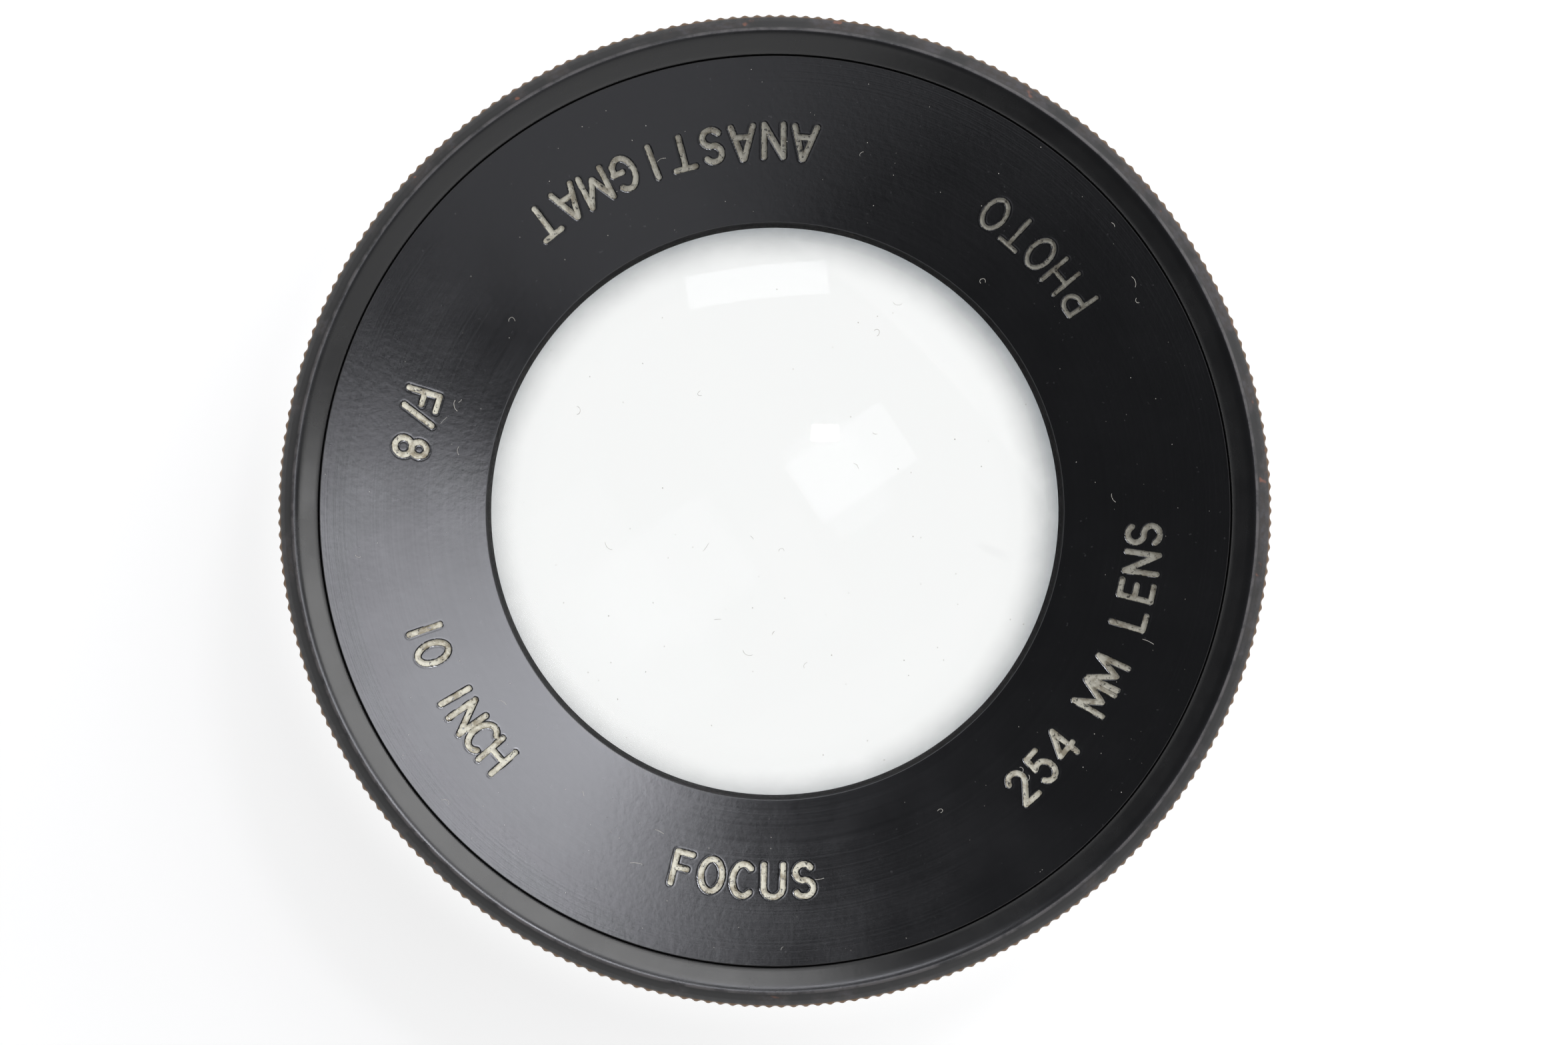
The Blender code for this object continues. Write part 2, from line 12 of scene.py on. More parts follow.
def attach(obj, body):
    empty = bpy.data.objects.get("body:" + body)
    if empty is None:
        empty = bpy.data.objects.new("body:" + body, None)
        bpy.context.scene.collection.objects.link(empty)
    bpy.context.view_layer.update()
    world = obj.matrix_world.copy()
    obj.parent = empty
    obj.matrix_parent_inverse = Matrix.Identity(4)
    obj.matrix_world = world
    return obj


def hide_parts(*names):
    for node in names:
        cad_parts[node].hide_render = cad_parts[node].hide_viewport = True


MM = 0.001
TAU = 2.0 * math.pi

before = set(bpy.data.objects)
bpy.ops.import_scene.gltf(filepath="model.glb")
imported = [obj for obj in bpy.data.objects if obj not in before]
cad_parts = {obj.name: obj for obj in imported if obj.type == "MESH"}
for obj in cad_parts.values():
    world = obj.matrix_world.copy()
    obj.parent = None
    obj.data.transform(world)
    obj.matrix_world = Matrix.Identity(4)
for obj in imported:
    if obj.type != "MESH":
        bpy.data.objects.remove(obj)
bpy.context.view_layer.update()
scene = bpy.context.scene
rng = random.Random(7)


# ---- node helpers

class Nodes:
    """Short calls for building one material's node tree."""

    def __init__(self, name):
        self.material = bpy.data.materials.new(name)
        self.material.use_nodes = True
        self.tree = self.material.node_tree
        self.shader = self.tree.nodes["Principled BSDF"]
        coordinates = self.tree.nodes.new("ShaderNodeTexCoord")
        self.place = coordinates.outputs["Object"]

    def node(self, kind, **inputs):
        node = self.tree.nodes.new(kind)
        for name, value in inputs.items():
            self.feed(node.inputs[name.replace("_", " ")], value)
        return node

    def feed(self, socket, value):
        if isinstance(value, bpy.types.NodeSocket):
            self.tree.links.new(value, socket)
        else:
            socket.default_value = (*value, 1.0) if isinstance(value, tuple) else value

    def math(self, operation, *values, clamp=False):
        node = self.tree.nodes.new("ShaderNodeMath")
        node.operation = operation
        node.use_clamp = clamp
        for socket, value in zip(node.inputs, values):
            self.feed(socket, value)
        return node.outputs[0]

    def plus(self, first, second):
        return self.math("ADD", first, second)

    def minus(self, first, second):
        return self.math("SUBTRACT", first, second)

    def times(self, first, second):
        return self.math("MULTIPLY", first, second)

    def larger(self, first, second):
        return self.math("MAXIMUM", first, second)

    def swing(self, value, amount):
        """A value from 0 to 1 made into one that swings about zero."""
        return self.times(self.minus(value, 0.5), amount)

    def length(self, x, y):
        """Length of the vector (x, y)."""
        return self.math("SQRT", self.plus(self.times(x, x), self.times(y, y)))

    def ramp(self, value, low, high, out_low=0.0, out_high=1.0):
        """Smooth step of a value from one range into another."""
        node = self.tree.nodes.new("ShaderNodeMapRange")
        node.interpolation_type = "SMOOTHSTEP"
        for name, item in (("Value", value), ("From Min", low), ("From Max", high),
                           ("To Min", out_low), ("To Max", out_high)):
            self.feed(node.inputs[name], item)
        return node.outputs[0]

    def noise(self, scale, detail=3.0, roughness=0.6, vector=None):
        node = self.node("ShaderNodeTexNoise", Scale=scale, Detail=detail,
                         Roughness=roughness,
                         Vector=self.place if vector is None else vector)
        return node.outputs["Fac"]

    def mix(self, fraction, low, high):
        node = self.tree.nodes.new("ShaderNodeMix")
        node.data_type = "RGBA"
        self.feed(node.inputs[0], fraction)
        self.feed(node.inputs[6], low)
        self.feed(node.inputs[7], high)
        return node.outputs[2]

    def attribute(self, name):
        node = self.tree.nodes.new("ShaderNodeAttribute")
        node.attribute_name = name
        return node.outputs["Fac"]

    def axes(self):
        return self.node("ShaderNodeSeparateXYZ", Vector=self.place).outputs

    def radius(self):
        x, y, _ = self.axes()
        return self.length(x, y)

    def vector(self, x, y, z):
        return self.node("ShaderNodeCombineXYZ", X=x, Y=y, Z=z).outputs[0]

    def rings(self, density):
        """Fine turning lines: noise that changes with the radius and height only."""
        radius = self.radius()
        z = self.axes()[2]
        return self.noise(density, 3.0, 0.7, self.vector(radius, 0.0, z))

    def bump(self, height, distance, strength=1.0, normal=None):
        node = self.node("ShaderNodeBump", Height=height, Distance=distance, Strength=strength)
        if normal is not None:
            self.feed(node.inputs["Normal"], normal)
        return node.outputs[0]

    def finish(self, **sockets):
        for name, value in sockets.items():
            self.feed(self.shader.inputs[name.replace("_", " ")], value)
        return self.material


# ---- materials

BLACK = (0.0032, 0.0032, 0.0036)
CREAM = (0.52, 0.50, 0.415)
CREAM_DARK = (0.22, 0.19, 0.13)
BROWN = (0.014, 0.0105, 0.009)
BRASS = (0.52, 0.36, 0.17)
TARNISH = (0.20, 0.12, 0.05)
CREAM_SHADED = (0.020, 0.019, 0.016)
SPECKLE = (0.05, 0.05, 0.052)
LIP_BRASS = (0.20, 0.17, 0.12)
PATINA = (0.026, 0.024, 0.028)
RUST = (0.16, 0.055, 0.028)
KNURL_BROWN = (0.16, 0.098, 0.054)
RIM_GREY = (0.11, 0.10, 0.10)
CREST_BRASS = (0.24, 0.135, 0.06)
RUBBED_BRASS = (0.17, 0.11, 0.055)
CLEAR = (0.995, 0.995, 0.995)
EDGE_SHADE = (0.10, 0.115, 0.13)
GLASS_IOR = 1.52
METRES_TO_MM = 1000.0


def fill_letters(n, colour, fine):
    """The colour with cream in the engraved strokes, and where the cream is."""
    distance_mm = n.plus(n.times(n.attribute("stroke_distance"), METRES_TO_MM),
                         n.swing(fine, 0.08))
    fill = n.ramp(distance_mm, 0.15, 0.11)
    return n.mix(fill, colour, n.mix(n.ramp(fine, 0.4, 0.7), CREAM, CREAM_DARK)), fill


def face_lacquer():
    """Satin black lacquer over turned brass, with engraved letters filled in cream."""
    n = Nodes("face_lacquer")
    radius = n.radius()
    distance = n.attribute("stroke_distance")
    orange_peel = n.noise(2400.0, 3.0, 0.55)
    turning = n.rings(9000.0)
    near_rim = n.ramp(radius, 24.5 * MM, 27.8 * MM, 0.25, 1.0)
    smudge = n.noise(160.0, 4.0, 0.6)
    ragged = n.swing(n.noise(5200.0), 0.10)
    distance_mm = n.plus(n.times(distance, METRES_TO_MM), ragged)
    fill = n.ramp(distance_mm, 0.184, 0.149)
    chips = n.ramp(n.noise(3800.0, 3.0, 0.7), 0.57, 0.64)
    fill = n.times(fill, n.minus(1.0, n.times(chips, 0.85)))
    grime = n.noise(1500.0, 4.0, 0.7)
    cream = n.mix(n.ramp(grime, 0.42, 0.68), CREAM, CREAM_DARK)
    # painted shade: the fill is made darker towards +x +y, the side of the face that the light
    # leaves dark
    x, y, _ = n.axes()
    painted_shade_side = n.ramp(n.plus(x, y), -23.4 * MM, 33.0 * MM, 0.0, 0.74)
    cream = n.mix(painted_shade_side, cream, CREAM_SHADED)
    wander = n.swing(n.noise(900.0), 0.12 * MM)
    line = n.math("ABSOLUTE", n.plus(n.minus(radius, 17.90 * MM), wander))
    worn_lip = n.times(n.ramp(line, 0.045 * MM, 0.015 * MM),
                       n.ramp(n.noise(1500.0, 4.0, 0.7), 0.44, 0.60))
    speckle = n.ramp(n.noise(3800.0, 1.0, 0.4), 0.74, 0.80)
    black = n.mix(n.times(speckle, 0.25), BLACK, SPECKLE)
    colour = n.mix(worn_lip, n.mix(fill, black, cream), LIP_BRASS)
    rough = n.plus(n.ramp(smudge, 0.3, 0.7, 0.115, 0.145), n.swing(turning, 0.08))
    rough = n.larger(rough, n.times(fill, 0.5))
    rough = n.larger(rough, n.ramp(radius, 18.14 * MM, 18.06 * MM, 0.0, 0.5))
    normal = n.bump(orange_peel, 0.004 * MM, 0.5)
    normal = n.bump(turning, 0.0026 * MM, n.times(near_rim, 0.8), normal)
    normal = n.bump(grime, 0.03 * MM, n.times(fill, 0.8), normal)
    return n.finish(Base_Color=colour, Roughness=rough, Normal=normal)


def ring_lacquer():
    """Black lacquer worn to a brown patina on the chamfer and to brass on the knurl."""
    n = Nodes("ring_lacquer")
    x, y, z = n.axes()
    radius = n.radius()
    patches = n.noise(240.0, 5.0, 0.62)
    fine = n.noise(2600.0)
    turning = n.rings(7000.0)
    # more wear, and so a lighter chamfer, towards the right and the top of the chamfer: partly real
    # wear, partly painted light where the chamfer catches the light
    side = n.plus(n.times(x, 22.0), n.times(y, 14.0))
    on_chamfer = n.times(n.ramp(radius, 30.10 * MM, 30.22 * MM), n.ramp(z, 40.6 * MM, 41.0 * MM))
    wear_and_painted_light = n.ramp(n.plus(patches, n.times(side, 0.06)), 0.49, 0.60)
    wear_and_painted_light = n.times(wear_and_painted_light, on_chamfer)
    crest = n.times(n.ramp(radius, 30.90 * MM, 30.985 * MM),
                    n.ramp(n.plus(patches, n.times(fine, 0.4)), 0.52, 0.80))
    lip = n.times(n.ramp(n.math("ABSOLUTE", n.minus(radius, 30.02 * MM)), 0.13 * MM, 0.05 * MM),
                  n.ramp(z, 41.7 * MM, 41.9 * MM))
    lip = n.times(lip, n.ramp(n.noise(500.0, 4.0, 0.7), 0.36, 0.58))
    patina = n.mix(n.ramp(fine, 0.35, 0.7), BROWN, PATINA)
    rust = n.ramp(n.noise(900.0, 2.0, 0.5), 0.66, 0.72)
    patina = n.mix(n.times(rust, 0.7), patina, RUST)
    colour = n.mix(wear_and_painted_light, BLACK, patina)
    knurl = n.ramp(radius, 30.74 * MM, 30.86 * MM, 0.0, 0.85)
    colour = n.mix(knurl, colour, KNURL_BROWN)
    colour = n.mix(n.times(lip, 0.4), colour, RIM_GREY)
    colour = n.mix(crest, colour, CREST_BRASS)
    colour, fill = fill_letters(n, colour, fine)
    rough = n.plus(n.ramp(patches, 0.3, 0.7, 0.22, 0.29), n.times(n.larger(wear_and_painted_light, crest), 0.16))
    rough = n.larger(rough, n.times(fill, 0.75))
    crown = n.times(n.ramp(radius, 29.92 * MM, 30.02 * MM), n.ramp(z, 41.50 * MM, 41.62 * MM))
    rough = n.larger(rough, n.times(crown, 0.55))
    metal = n.larger(n.times(crest, 0.7), knurl)
    normal = n.bump(fine, 0.006 * MM, 0.5)
    normal = n.bump(turning, 0.0025 * MM, 0.8, normal)
    normal = n.bump(patches, 0.05 * MM, n.times(wear_and_painted_light, 0.5), normal)
    return n.finish(Base_Color=colour, Roughness=rough, Metallic=metal, Normal=normal)


def body_lacquer():
    """The same lacquer on the barrel, rear cell and board ring, rubbed on their edges."""
    n = Nodes("body_lacquer")
    fine = n.noise(2400.0)
    patches = n.noise(210.0, 5.0, 0.6)
    turning = n.rings(6500.0)
    edges = n.node("ShaderNodeNewGeometry").outputs["Pointiness"]
    rubbed = n.times(n.ramp(edges, 0.52, 0.60), n.ramp(patches, 0.42, 0.60))
    scuff = n.times(n.ramp(n.noise(1100.0), 0.66, 0.74), n.ramp(patches, 0.50, 0.66))
    worn = n.larger(rubbed, n.times(scuff, 0.6))
    colour = n.mix(worn, BLACK, RUBBED_BRASS)
    colour, fill = fill_letters(n, colour, fine)
    rough = n.plus(n.ramp(patches, 0.3, 0.7, 0.27, 0.37), n.times(worn, 0.1))
    rough = n.larger(rough, n.times(fill, 0.75))
    normal = n.bump(fine, 0.004 * MM, 0.5)
    normal = n.bump(turning, 0.002 * MM, 0.8, normal)
    return n.finish(Base_Color=colour, Roughness=rough, Metallic=n.times(worn, 0.7), Normal=normal)


def flat_black():
    n = Nodes("flat_black")
    grain = n.noise(5200.0)
    colour = n.mix(n.ramp(n.noise(600.0, 4.0, 0.6), 0.35, 0.7), (0.006, 0.006, 0.006),
                   (0.014, 0.013, 0.013))
    return n.finish(Base_Color=colour, Roughness=n.ramp(grain, 0.3, 0.7, 0.55, 0.75),
                    Normal=n.bump(grain, 0.01 * MM, 0.7))


def tube_black():
    """Dull black inside of the tubes, which mirrors at a low angle."""
    n = Nodes("tube_black")
    grain = n.noise(3600.0, 2.0, 0.6)
    turning = n.rings(5200.0)
    normal = n.bump(turning, 0.004 * MM, 0.5, n.bump(grain, 0.003 * MM, 0.4))
    return n.finish(Base_Color=(0.008, 0.008, 0.009), Roughness=n.ramp(grain, 0.3, 0.7, 0.34, 0.42),
                    Normal=normal)


def blued_steel():
    n = Nodes("blued_steel")
    brushed = n.noise(900.0, 4.0, 0.6,
                      n.vector(*[n.times(a, s) for a, s in zip(n.axes(), (6.0, 0.7, 1.0))]))
    cloud = n.noise(260.0, 4.0, 0.6)
    colour = n.mix(n.ramp(cloud, 0.3, 0.7), (0.028, 0.032, 0.044), (0.055, 0.052, 0.058))
    return n.finish(Base_Color=colour, Metallic=0.85,
                    Roughness=n.ramp(brushed, 0.3, 0.7, 0.30, 0.48),
                    Normal=n.bump(brushed, 0.002 * MM, 0.6))


def old_brass():
    n = Nodes("old_brass")
    cloud = n.noise(900.0, 4.0, 0.6)
    fine = n.noise(5200.0, 2.0, 0.6)
    colour = n.mix(n.ramp(cloud, 0.38, 0.66), BRASS, TARNISH)
    return n.finish(Base_Color=colour, Metallic=1.0, Roughness=n.ramp(fine, 0.3, 0.7, 0.28, 0.42),
                    Normal=n.bump(n.rings(6000.0), 0.002 * MM, 0.6))


def lens_glass():
    """Polished glass. A faint haze of old dust sits on it."""
    n = Nodes("lens_glass")
    haze = n.ramp(n.noise(220.0, 4.0, 0.6), 0.35, 0.8, 0.0, 0.012)
    return n.finish(Base_Color=(0.995, 0.998, 0.996), Roughness=haze, IOR=GLASS_IOR,
                    Transmission_Weight=1.0, Specular_Tint=(0.025, 0.025, 0.025))


def edge_shaded_glass():
    """The front glass: its last millimetres are darkened grey with painted shade, standing in for
    the shadow of the rim and the tubes behind it.
    """
    n = Nodes("edge_shaded_glass")
    x, y, _ = n.axes()
    # the ring of painted shade is a little off centre
    dx = n.plus(x, 0.36 * MM)
    dy = n.plus(y, 0.36 * MM)
    radius = n.length(dx, dy)
    mottle = n.swing(n.noise(420.0, 3.0, 0.55), 0.5 * MM)
    radius = n.plus(radius, mottle)
    # painted shade: the glass colour darkens towards the rim
    outer = n.ramp(radius, 15.5 * MM, 18.6 * MM)
    inner = n.ramp(radius, 14.2 * MM, 15.6 * MM, 0.0, 0.03)
    shade = n.plus(n.times(outer, 0.97), inner)
    # one soft smear near the right side
    sx = n.minus(x, 13.6 * MM)
    sy = n.plus(y, 2.5 * MM)
    along = n.minus(n.times(sx, 0.57 / MM), n.times(sy, 0.25 / MM))
    across = n.plus(n.times(sx, 0.81 / MM), n.times(sy, 1.83 / MM))
    smear = n.length(along, across)
    shade = n.math("ADD", shade, n.ramp(smear, 1.0, 0.1, 0.0, 0.08), clamp=True)
    colour = n.mix(shade, CLEAR, EDGE_SHADE)
    return n.finish(Base_Color=colour, Roughness=0.0, IOR=GLASS_IOR, Transmission_Weight=1.0,
                    Specular_Tint=(0.10, 0.10, 0.10))


def ground_edge():
    n = Nodes("ground_edge")
    grain = n.noise(6200.0, 2.0, 0.6)
    return n.finish(Base_Color=n.mix(grain, (0.010, 0.010, 0.010), (0.022, 0.021, 0.020)),
                    Roughness=0.8, Normal=n.bump(grain, 0.008 * MM, 0.8))


def dust_grey():
    n = Nodes("dust_grey")
    return n.finish(Base_Color=n.mix(n.noise(1500.0, 2.0, 0.5), (0.20, 0.19, 0.17),
                                     (0.55, 0.53, 0.48)), Roughness=0.9)


FACE = face_lacquer()
RING = ring_lacquer()
BODY = body_lacquer()
FLAT = flat_black()
TUBE = tube_black()
STEEL = blued_steel()
OLD_BRASS = old_brass()
GLASS = lens_glass()
FRONT_GLASS = edge_shaded_glass()
GROUND = ground_edge()
DUST = dust_grey()


# ---- mesh helpers

ROD_SEGMENTS = 32


def add_object(name, data):
    item = bpy.data.objects.new(name, data)
    scene.collection.objects.link(item)
    return item


def make_piece(name, mesh, materials, body, nodes=(), sharp=30.0):
    for material in materials:
        mesh.materials.append(material)
    mesh.shade_smooth()
    mesh.set_sharp_from_angle(angle=math.radians(sharp))
    piece = add_object(name, mesh)
    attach(piece, body)
    if nodes:
        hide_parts(*nodes)


def store_distance(mesh, values):
    """Keep how far each vertex is from the nearest engraved stroke."""
    old = mesh.attributes.get("stroke_distance")
    if old is not None:
        mesh.attributes.remove(old)
    attribute = mesh.attributes.new("stroke_distance", "FLOAT", "POINT")
    attribute.data.foreach_set("value", values.astype(np.float32))


def grid_mesh(name, points, wrap_rows=False, wrap_columns=True, slots=None, distance=None):
    """A mesh over a grid of points [row, column, xyz], with one material slot per row."""
    rows, columns = points.shape[:2]
    index = np.arange(rows * columns).reshape(rows, columns)
    if wrap_rows:
        index = np.vstack([index, index[:1]])
    if wrap_columns:
        index = np.hstack([index, index[:, :1]])
    quads = np.stack([index[:-1, :-1], index[1:, :-1], index[1:, 1:], index[:-1, 1:]], axis=-1)
    mesh = bpy.data.meshes.new(name)
    mesh.from_pydata(points.reshape(-1, 3).tolist(), [], quads.reshape(-1, 4).tolist())
    if slots is not None:
        per_row = np.array(slots, dtype=np.int32)[:quads.shape[0]]
        mesh.polygons.foreach_set("material_index", np.repeat(per_row, quads.shape[1]))
    store_distance(mesh, np.ones(rows * columns) if distance is None else distance.reshape(-1))
    return mesh


def azimuths(count):
    return np.arange(count) * TAU / count


def turned_points(profile, angles, knurl=0.0):
    """Points [row, column, xyz] of a profile turned about the optical axis."""
    radii, heights = np.array(profile).T[:, :, None] * np.ones(len(angles))
    radii = radii + knurl
    return np.stack([radii * np.cos(angles), radii * np.sin(angles), heights], axis=-1)


def knurled_points(bands, tooth, angles):
    """Turned points of a profile made of bands of points, each with its depth of knurl."""
    profile = [point for points, _ in bands for point in points]
    cut = [depth for points, depth in bands for _ in points]
    return turned_points(profile, angles, np.outer(cut, tooth))


def lathe_mesh(name, profile, angles, closed=True, slots=None):
    """A turned mesh, with the points that meet on the axis made into one."""
    mesh = grid_mesh(name, turned_points(profile, angles), wrap_rows=closed, slots=slots)
    work = bmesh.new()
    work.from_mesh(mesh)
    bmesh.ops.remove_doubles(work, verts=work.verts, dist=1e-7)
    bmesh.ops.dissolve_degenerate(work, dist=1e-8, edges=work.edges)
    work.to_mesh(mesh)
    work.free()
    return mesh


def bow(x, y, rx, ry, start, end, count=14):
    """Points on part of an ellipse, angles in degrees."""
    steps = [math.radians(start + (end - start) * i / (count - 1)) for i in range(count)]
    return [(x + rx * math.cos(a), y + ry * math.sin(a)) for a in steps]


def corner(radius, centre, start, end, count=5):
    """Points of a rounded corner in a profile."""
    return bow(*centre, radius, radius, start, end, count)


def mm(*points):
    """Points given in millimetres."""
    return [(x * MM, y * MM) for x, y in points]


def corner_mm(radius, centre, start, end, count=5):
    """A rounded corner given in millimetres."""
    return corner(radius * MM, mm(centre)[0], start, end, count)


def boolean(mesh, cutters, name):
    """The mesh with other meshes cut from it."""
    body = add_object(name + "_work", mesh)
    tools = []
    for i, cutter in enumerate(cutters):
        tool = add_object(f"{name}_tool_{i}", cutter)
        modifier = body.modifiers.new(tool.name, "BOOLEAN")
        modifier.operation = "DIFFERENCE"
        modifier.object = tool
        tools.append(tool)
    bpy.context.view_layer.update()
    done = bpy.data.meshes.new_from_object(
        body.evaluated_get(bpy.context.evaluated_depsgraph_get()))
    for tool in tools + [body]:
        bpy.data.objects.remove(tool, do_unlink=True)
    done.name = name
    store_distance(done, np.ones(len(done.vertices)))
    return done


def block_mesh(size, centre):
    mesh = bpy.data.meshes.new("block")
    work = bmesh.new()
    bmesh.ops.create_cube(work, size=1.0, matrix=Matrix.Diagonal((*size, 1.0)))
    bmesh.ops.translate(work, verts=work.verts, vec=centre)
    work.to_mesh(mesh)
    work.free()
    return mesh


def rod_mesh(radius, bottom, top, centre):
    mesh = bpy.data.meshes.new("rod")
    work = bmesh.new()
    bmesh.ops.create_cone(work, cap_ends=True, segments=ROD_SEGMENTS, radius1=radius,
                          radius2=radius, depth=top - bottom)
    bmesh.ops.translate(work, verts=work.verts, vec=(*centre, (bottom + top) / 2.0))
    work.to_mesh(mesh)
    work.free()
    return mesh


# ---- engraved letters

UPRIGHT = [(0.0, 0.0), (0.0, 1.0)]

# Each glyph: its width, then its strokes, for a cap height of 1
GLYPHS = {
    " ": (0.4, []),
    "A": (0.70, [[(0.0, 0.0), (0.33, 1.0), (0.37, 1.0), (0.70, 0.0)],
                 [(0.12, 0.33), (0.58, 0.33)]]),
    "C": (0.62, [bow(0.33, 0.5, 0.33, 0.5, 48, 312, 22)]),
    "E": (0.48, [[(0.48, 1.0), (0.0, 1.0), (0.0, 0.0), (0.48, 0.0)], [(0.0, 0.52), (0.40, 0.52)]]),
    "F": (0.48, [[(0.0, 0.0), (0.0, 1.0), (0.48, 1.0)], [(0.0, 0.52), (0.40, 0.52)]]),
    "G": (0.66, [bow(0.33, 0.5, 0.33, 0.5, 50, 318, 22) + [(0.62, 0.18), (0.62, 0.44)],
                 [(0.36, 0.44), (0.66, 0.44)]]),
    "H": (0.60, [UPRIGHT, [(0.60, 0.0), (0.60, 1.0)],
                 [(0.0, 0.52), (0.60, 0.52)]]),
    "I": (0.0, [UPRIGHT]),
    "L": (0.46, [[(0.0, 1.0), (0.0, 0.0), (0.46, 0.0)]]),
    "M": (0.76, [[(0.0, 0.0), (0.0, 1.0), (0.38, 0.22), (0.76, 1.0), (0.76, 0.0)]]),
    "N": (0.60, [[(0.0, 0.0), (0.0, 1.0), (0.60, 0.0), (0.60, 1.0)]]),
    "O": (0.66, [bow(0.33, 0.5, 0.33, 0.5, 0, 360, 30)]),
    "P": (0.52, [UPRIGHT + bow(0.25, 0.735, 0.27, 0.265, 90, -90)
                 + [(0.0, 0.47)]]),
    "S": (0.56, [bow(0.28, 0.745, 0.26, 0.255, 32, 262, 16)
                 + bow(0.28, 0.255, 0.28, 0.255, 82, -152, 16)]),
    "T": (0.62, [[(0.0, 1.0), (0.62, 1.0)], [(0.31, 1.0), (0.31, 0.0)]]),
    "U": (0.60, [[(0.0, 1.0)] + bow(0.30, 0.30, 0.30, 0.30, 180, 360) + [(0.60, 1.0)]]),
    "/": (0.42, [[(0.0, 0.0), (0.42, 1.0)]]),
    "0": (0.60, [bow(0.30, 0.5, 0.30, 0.5, 0, 360, 30)]),
    "1": (0.0, [UPRIGHT]),
    "2": (0.54, [bow(0.27, 0.73, 0.26, 0.27, 165, -38, 14) + [(0.0, 0.0), (0.54, 0.0)]]),
    "3": (0.52, [bow(0.25, 0.76, 0.24, 0.24, 150, -90, 12)
                 + bow(0.25, 0.27, 0.27, 0.27, 82, -150, 12)]),
    "4": (0.58, [[(0.44, 0.0), (0.44, 1.0), (0.0, 0.30), (0.58, 0.30)]]),
    "5": (0.52, [[(0.48, 1.0), (0.08, 1.0), (0.04, 0.58)]
                 + bow(0.24, 0.33, 0.28, 0.33, 118, -148, 16)]),
    "6": (0.54, [bow(0.27, 0.30, 0.27, 0.30, 0, 360, 22),
                 bow(0.60, 0.30, 0.60, 0.72, 180, 108, 9)]),
    "8": (0.54, [bow(0.27, 0.76, 0.22, 0.24, 0, 360, 22),
                 bow(0.27, 0.27, 0.27, 0.27, 0, 360, 22)]),
}

# Words on the face: text, then the azimuths of its first and last letter in degrees
FACE_WORDS = (
    ("PHOTO", -325.2, -306.6),
    ("ANASTIGMAT", -274.6, -231.4),
    ("F/ 8", -197.5, -189.9),
    ("10 INCH", -161.2, -138.6),
    ("FOCUS", -104.6, -85.6),
    ("254 MM LENS", -48.2, -3.6),
)
THIN_WORDS = ("PHOTO",)
THINNER = 0.045 * MM
LETTER_HEIGHT = 2.0 * MM
LETTER_BASE = 24.1 * MM
STROKE = 0.186 * MM
GROOVE_DEPTH = 0.11 * MM
SCALE_STOPS = ("8", "11", "16", "22", "32")


def stroke_distance(u, v, strokes, height):
    """Distance from points (u, v) to the nearest stroke of a glyph drawn at a cap height."""
    best = np.full(u.shape, 1.0)
    for stroke in strokes:
        for (ax, ay), (bx, by) in zip(stroke[:-1], stroke[1:]):
            ax, ay, bx, by = ax * height, ay * height, bx * height, by * height
            dx, dy = bx - ax, by - ay
            length = dx * dx + dy * dy + 1e-18
            t = np.clip(((u - ax) * dx + (v - ay) * dy) / length, 0.0, 1.0)
            best = np.minimum(best, np.hypot(u - ax - t * dx, v - ay - t * dy))
    return best


def groove(distance, half_width, depth):
    """How far an engraved surface lies below the plain one: sunk fill, raised burr."""
    inside = np.clip((half_width - distance) / (0.45 * half_width), 0.0, 1.0)
    inside = inside * inside * (3.0 - 2.0 * inside)
    burr = np.exp(-((distance - 1.25 * half_width) / (0.25 * half_width)) ** 2)
    return inside * depth - burr * 0.035 * depth


def letter_centres(words):
    for text, first, last in words:
        for i, letter in enumerate(text):
            share = i / (len(text) - 1)
            yield text, letter, math.radians(first + (last - first) * share)


# ---- front cell

FACE_OUTER = (28.36 * MM, 41.094 * MM)
FACE_INNER = (18.06 * MM, 39.989 * MM)
FACE_SLOPE = (FACE_OUTER[1] - FACE_INNER[1]) / (FACE_OUTER[0] - FACE_INNER[0])
SUPPORT = 0.025 * MM
LETTER_MARGIN = 0.44 * MM
# Angles in radians: half the width round a letter, and the steps inside and outside it
LETTER_REACH = 0.055
FINE_STEP = 0.0024
COARSE_STEP = 0.0115
TUBE_STEPS = 26
CELL_THREADS = 8


def face_height(radius):
    return FACE_INNER[1] + (radius - FACE_INNER[0]) * FACE_SLOPE


def face_angles(letters):
    """Angles round the face, close together where the letters are."""
    centres = [angle % TAU for _, _, angle in letters]
    angles = [0.0]
    while angles[-1] < TAU:
        here = angles[-1]
        gap = min(min(abs(here - c), TAU - abs(here - c)) for c in centres)
        angles.append(here + (FINE_STEP if gap < LETTER_REACH else COARSE_STEP))
    return np.array(angles[:-1])


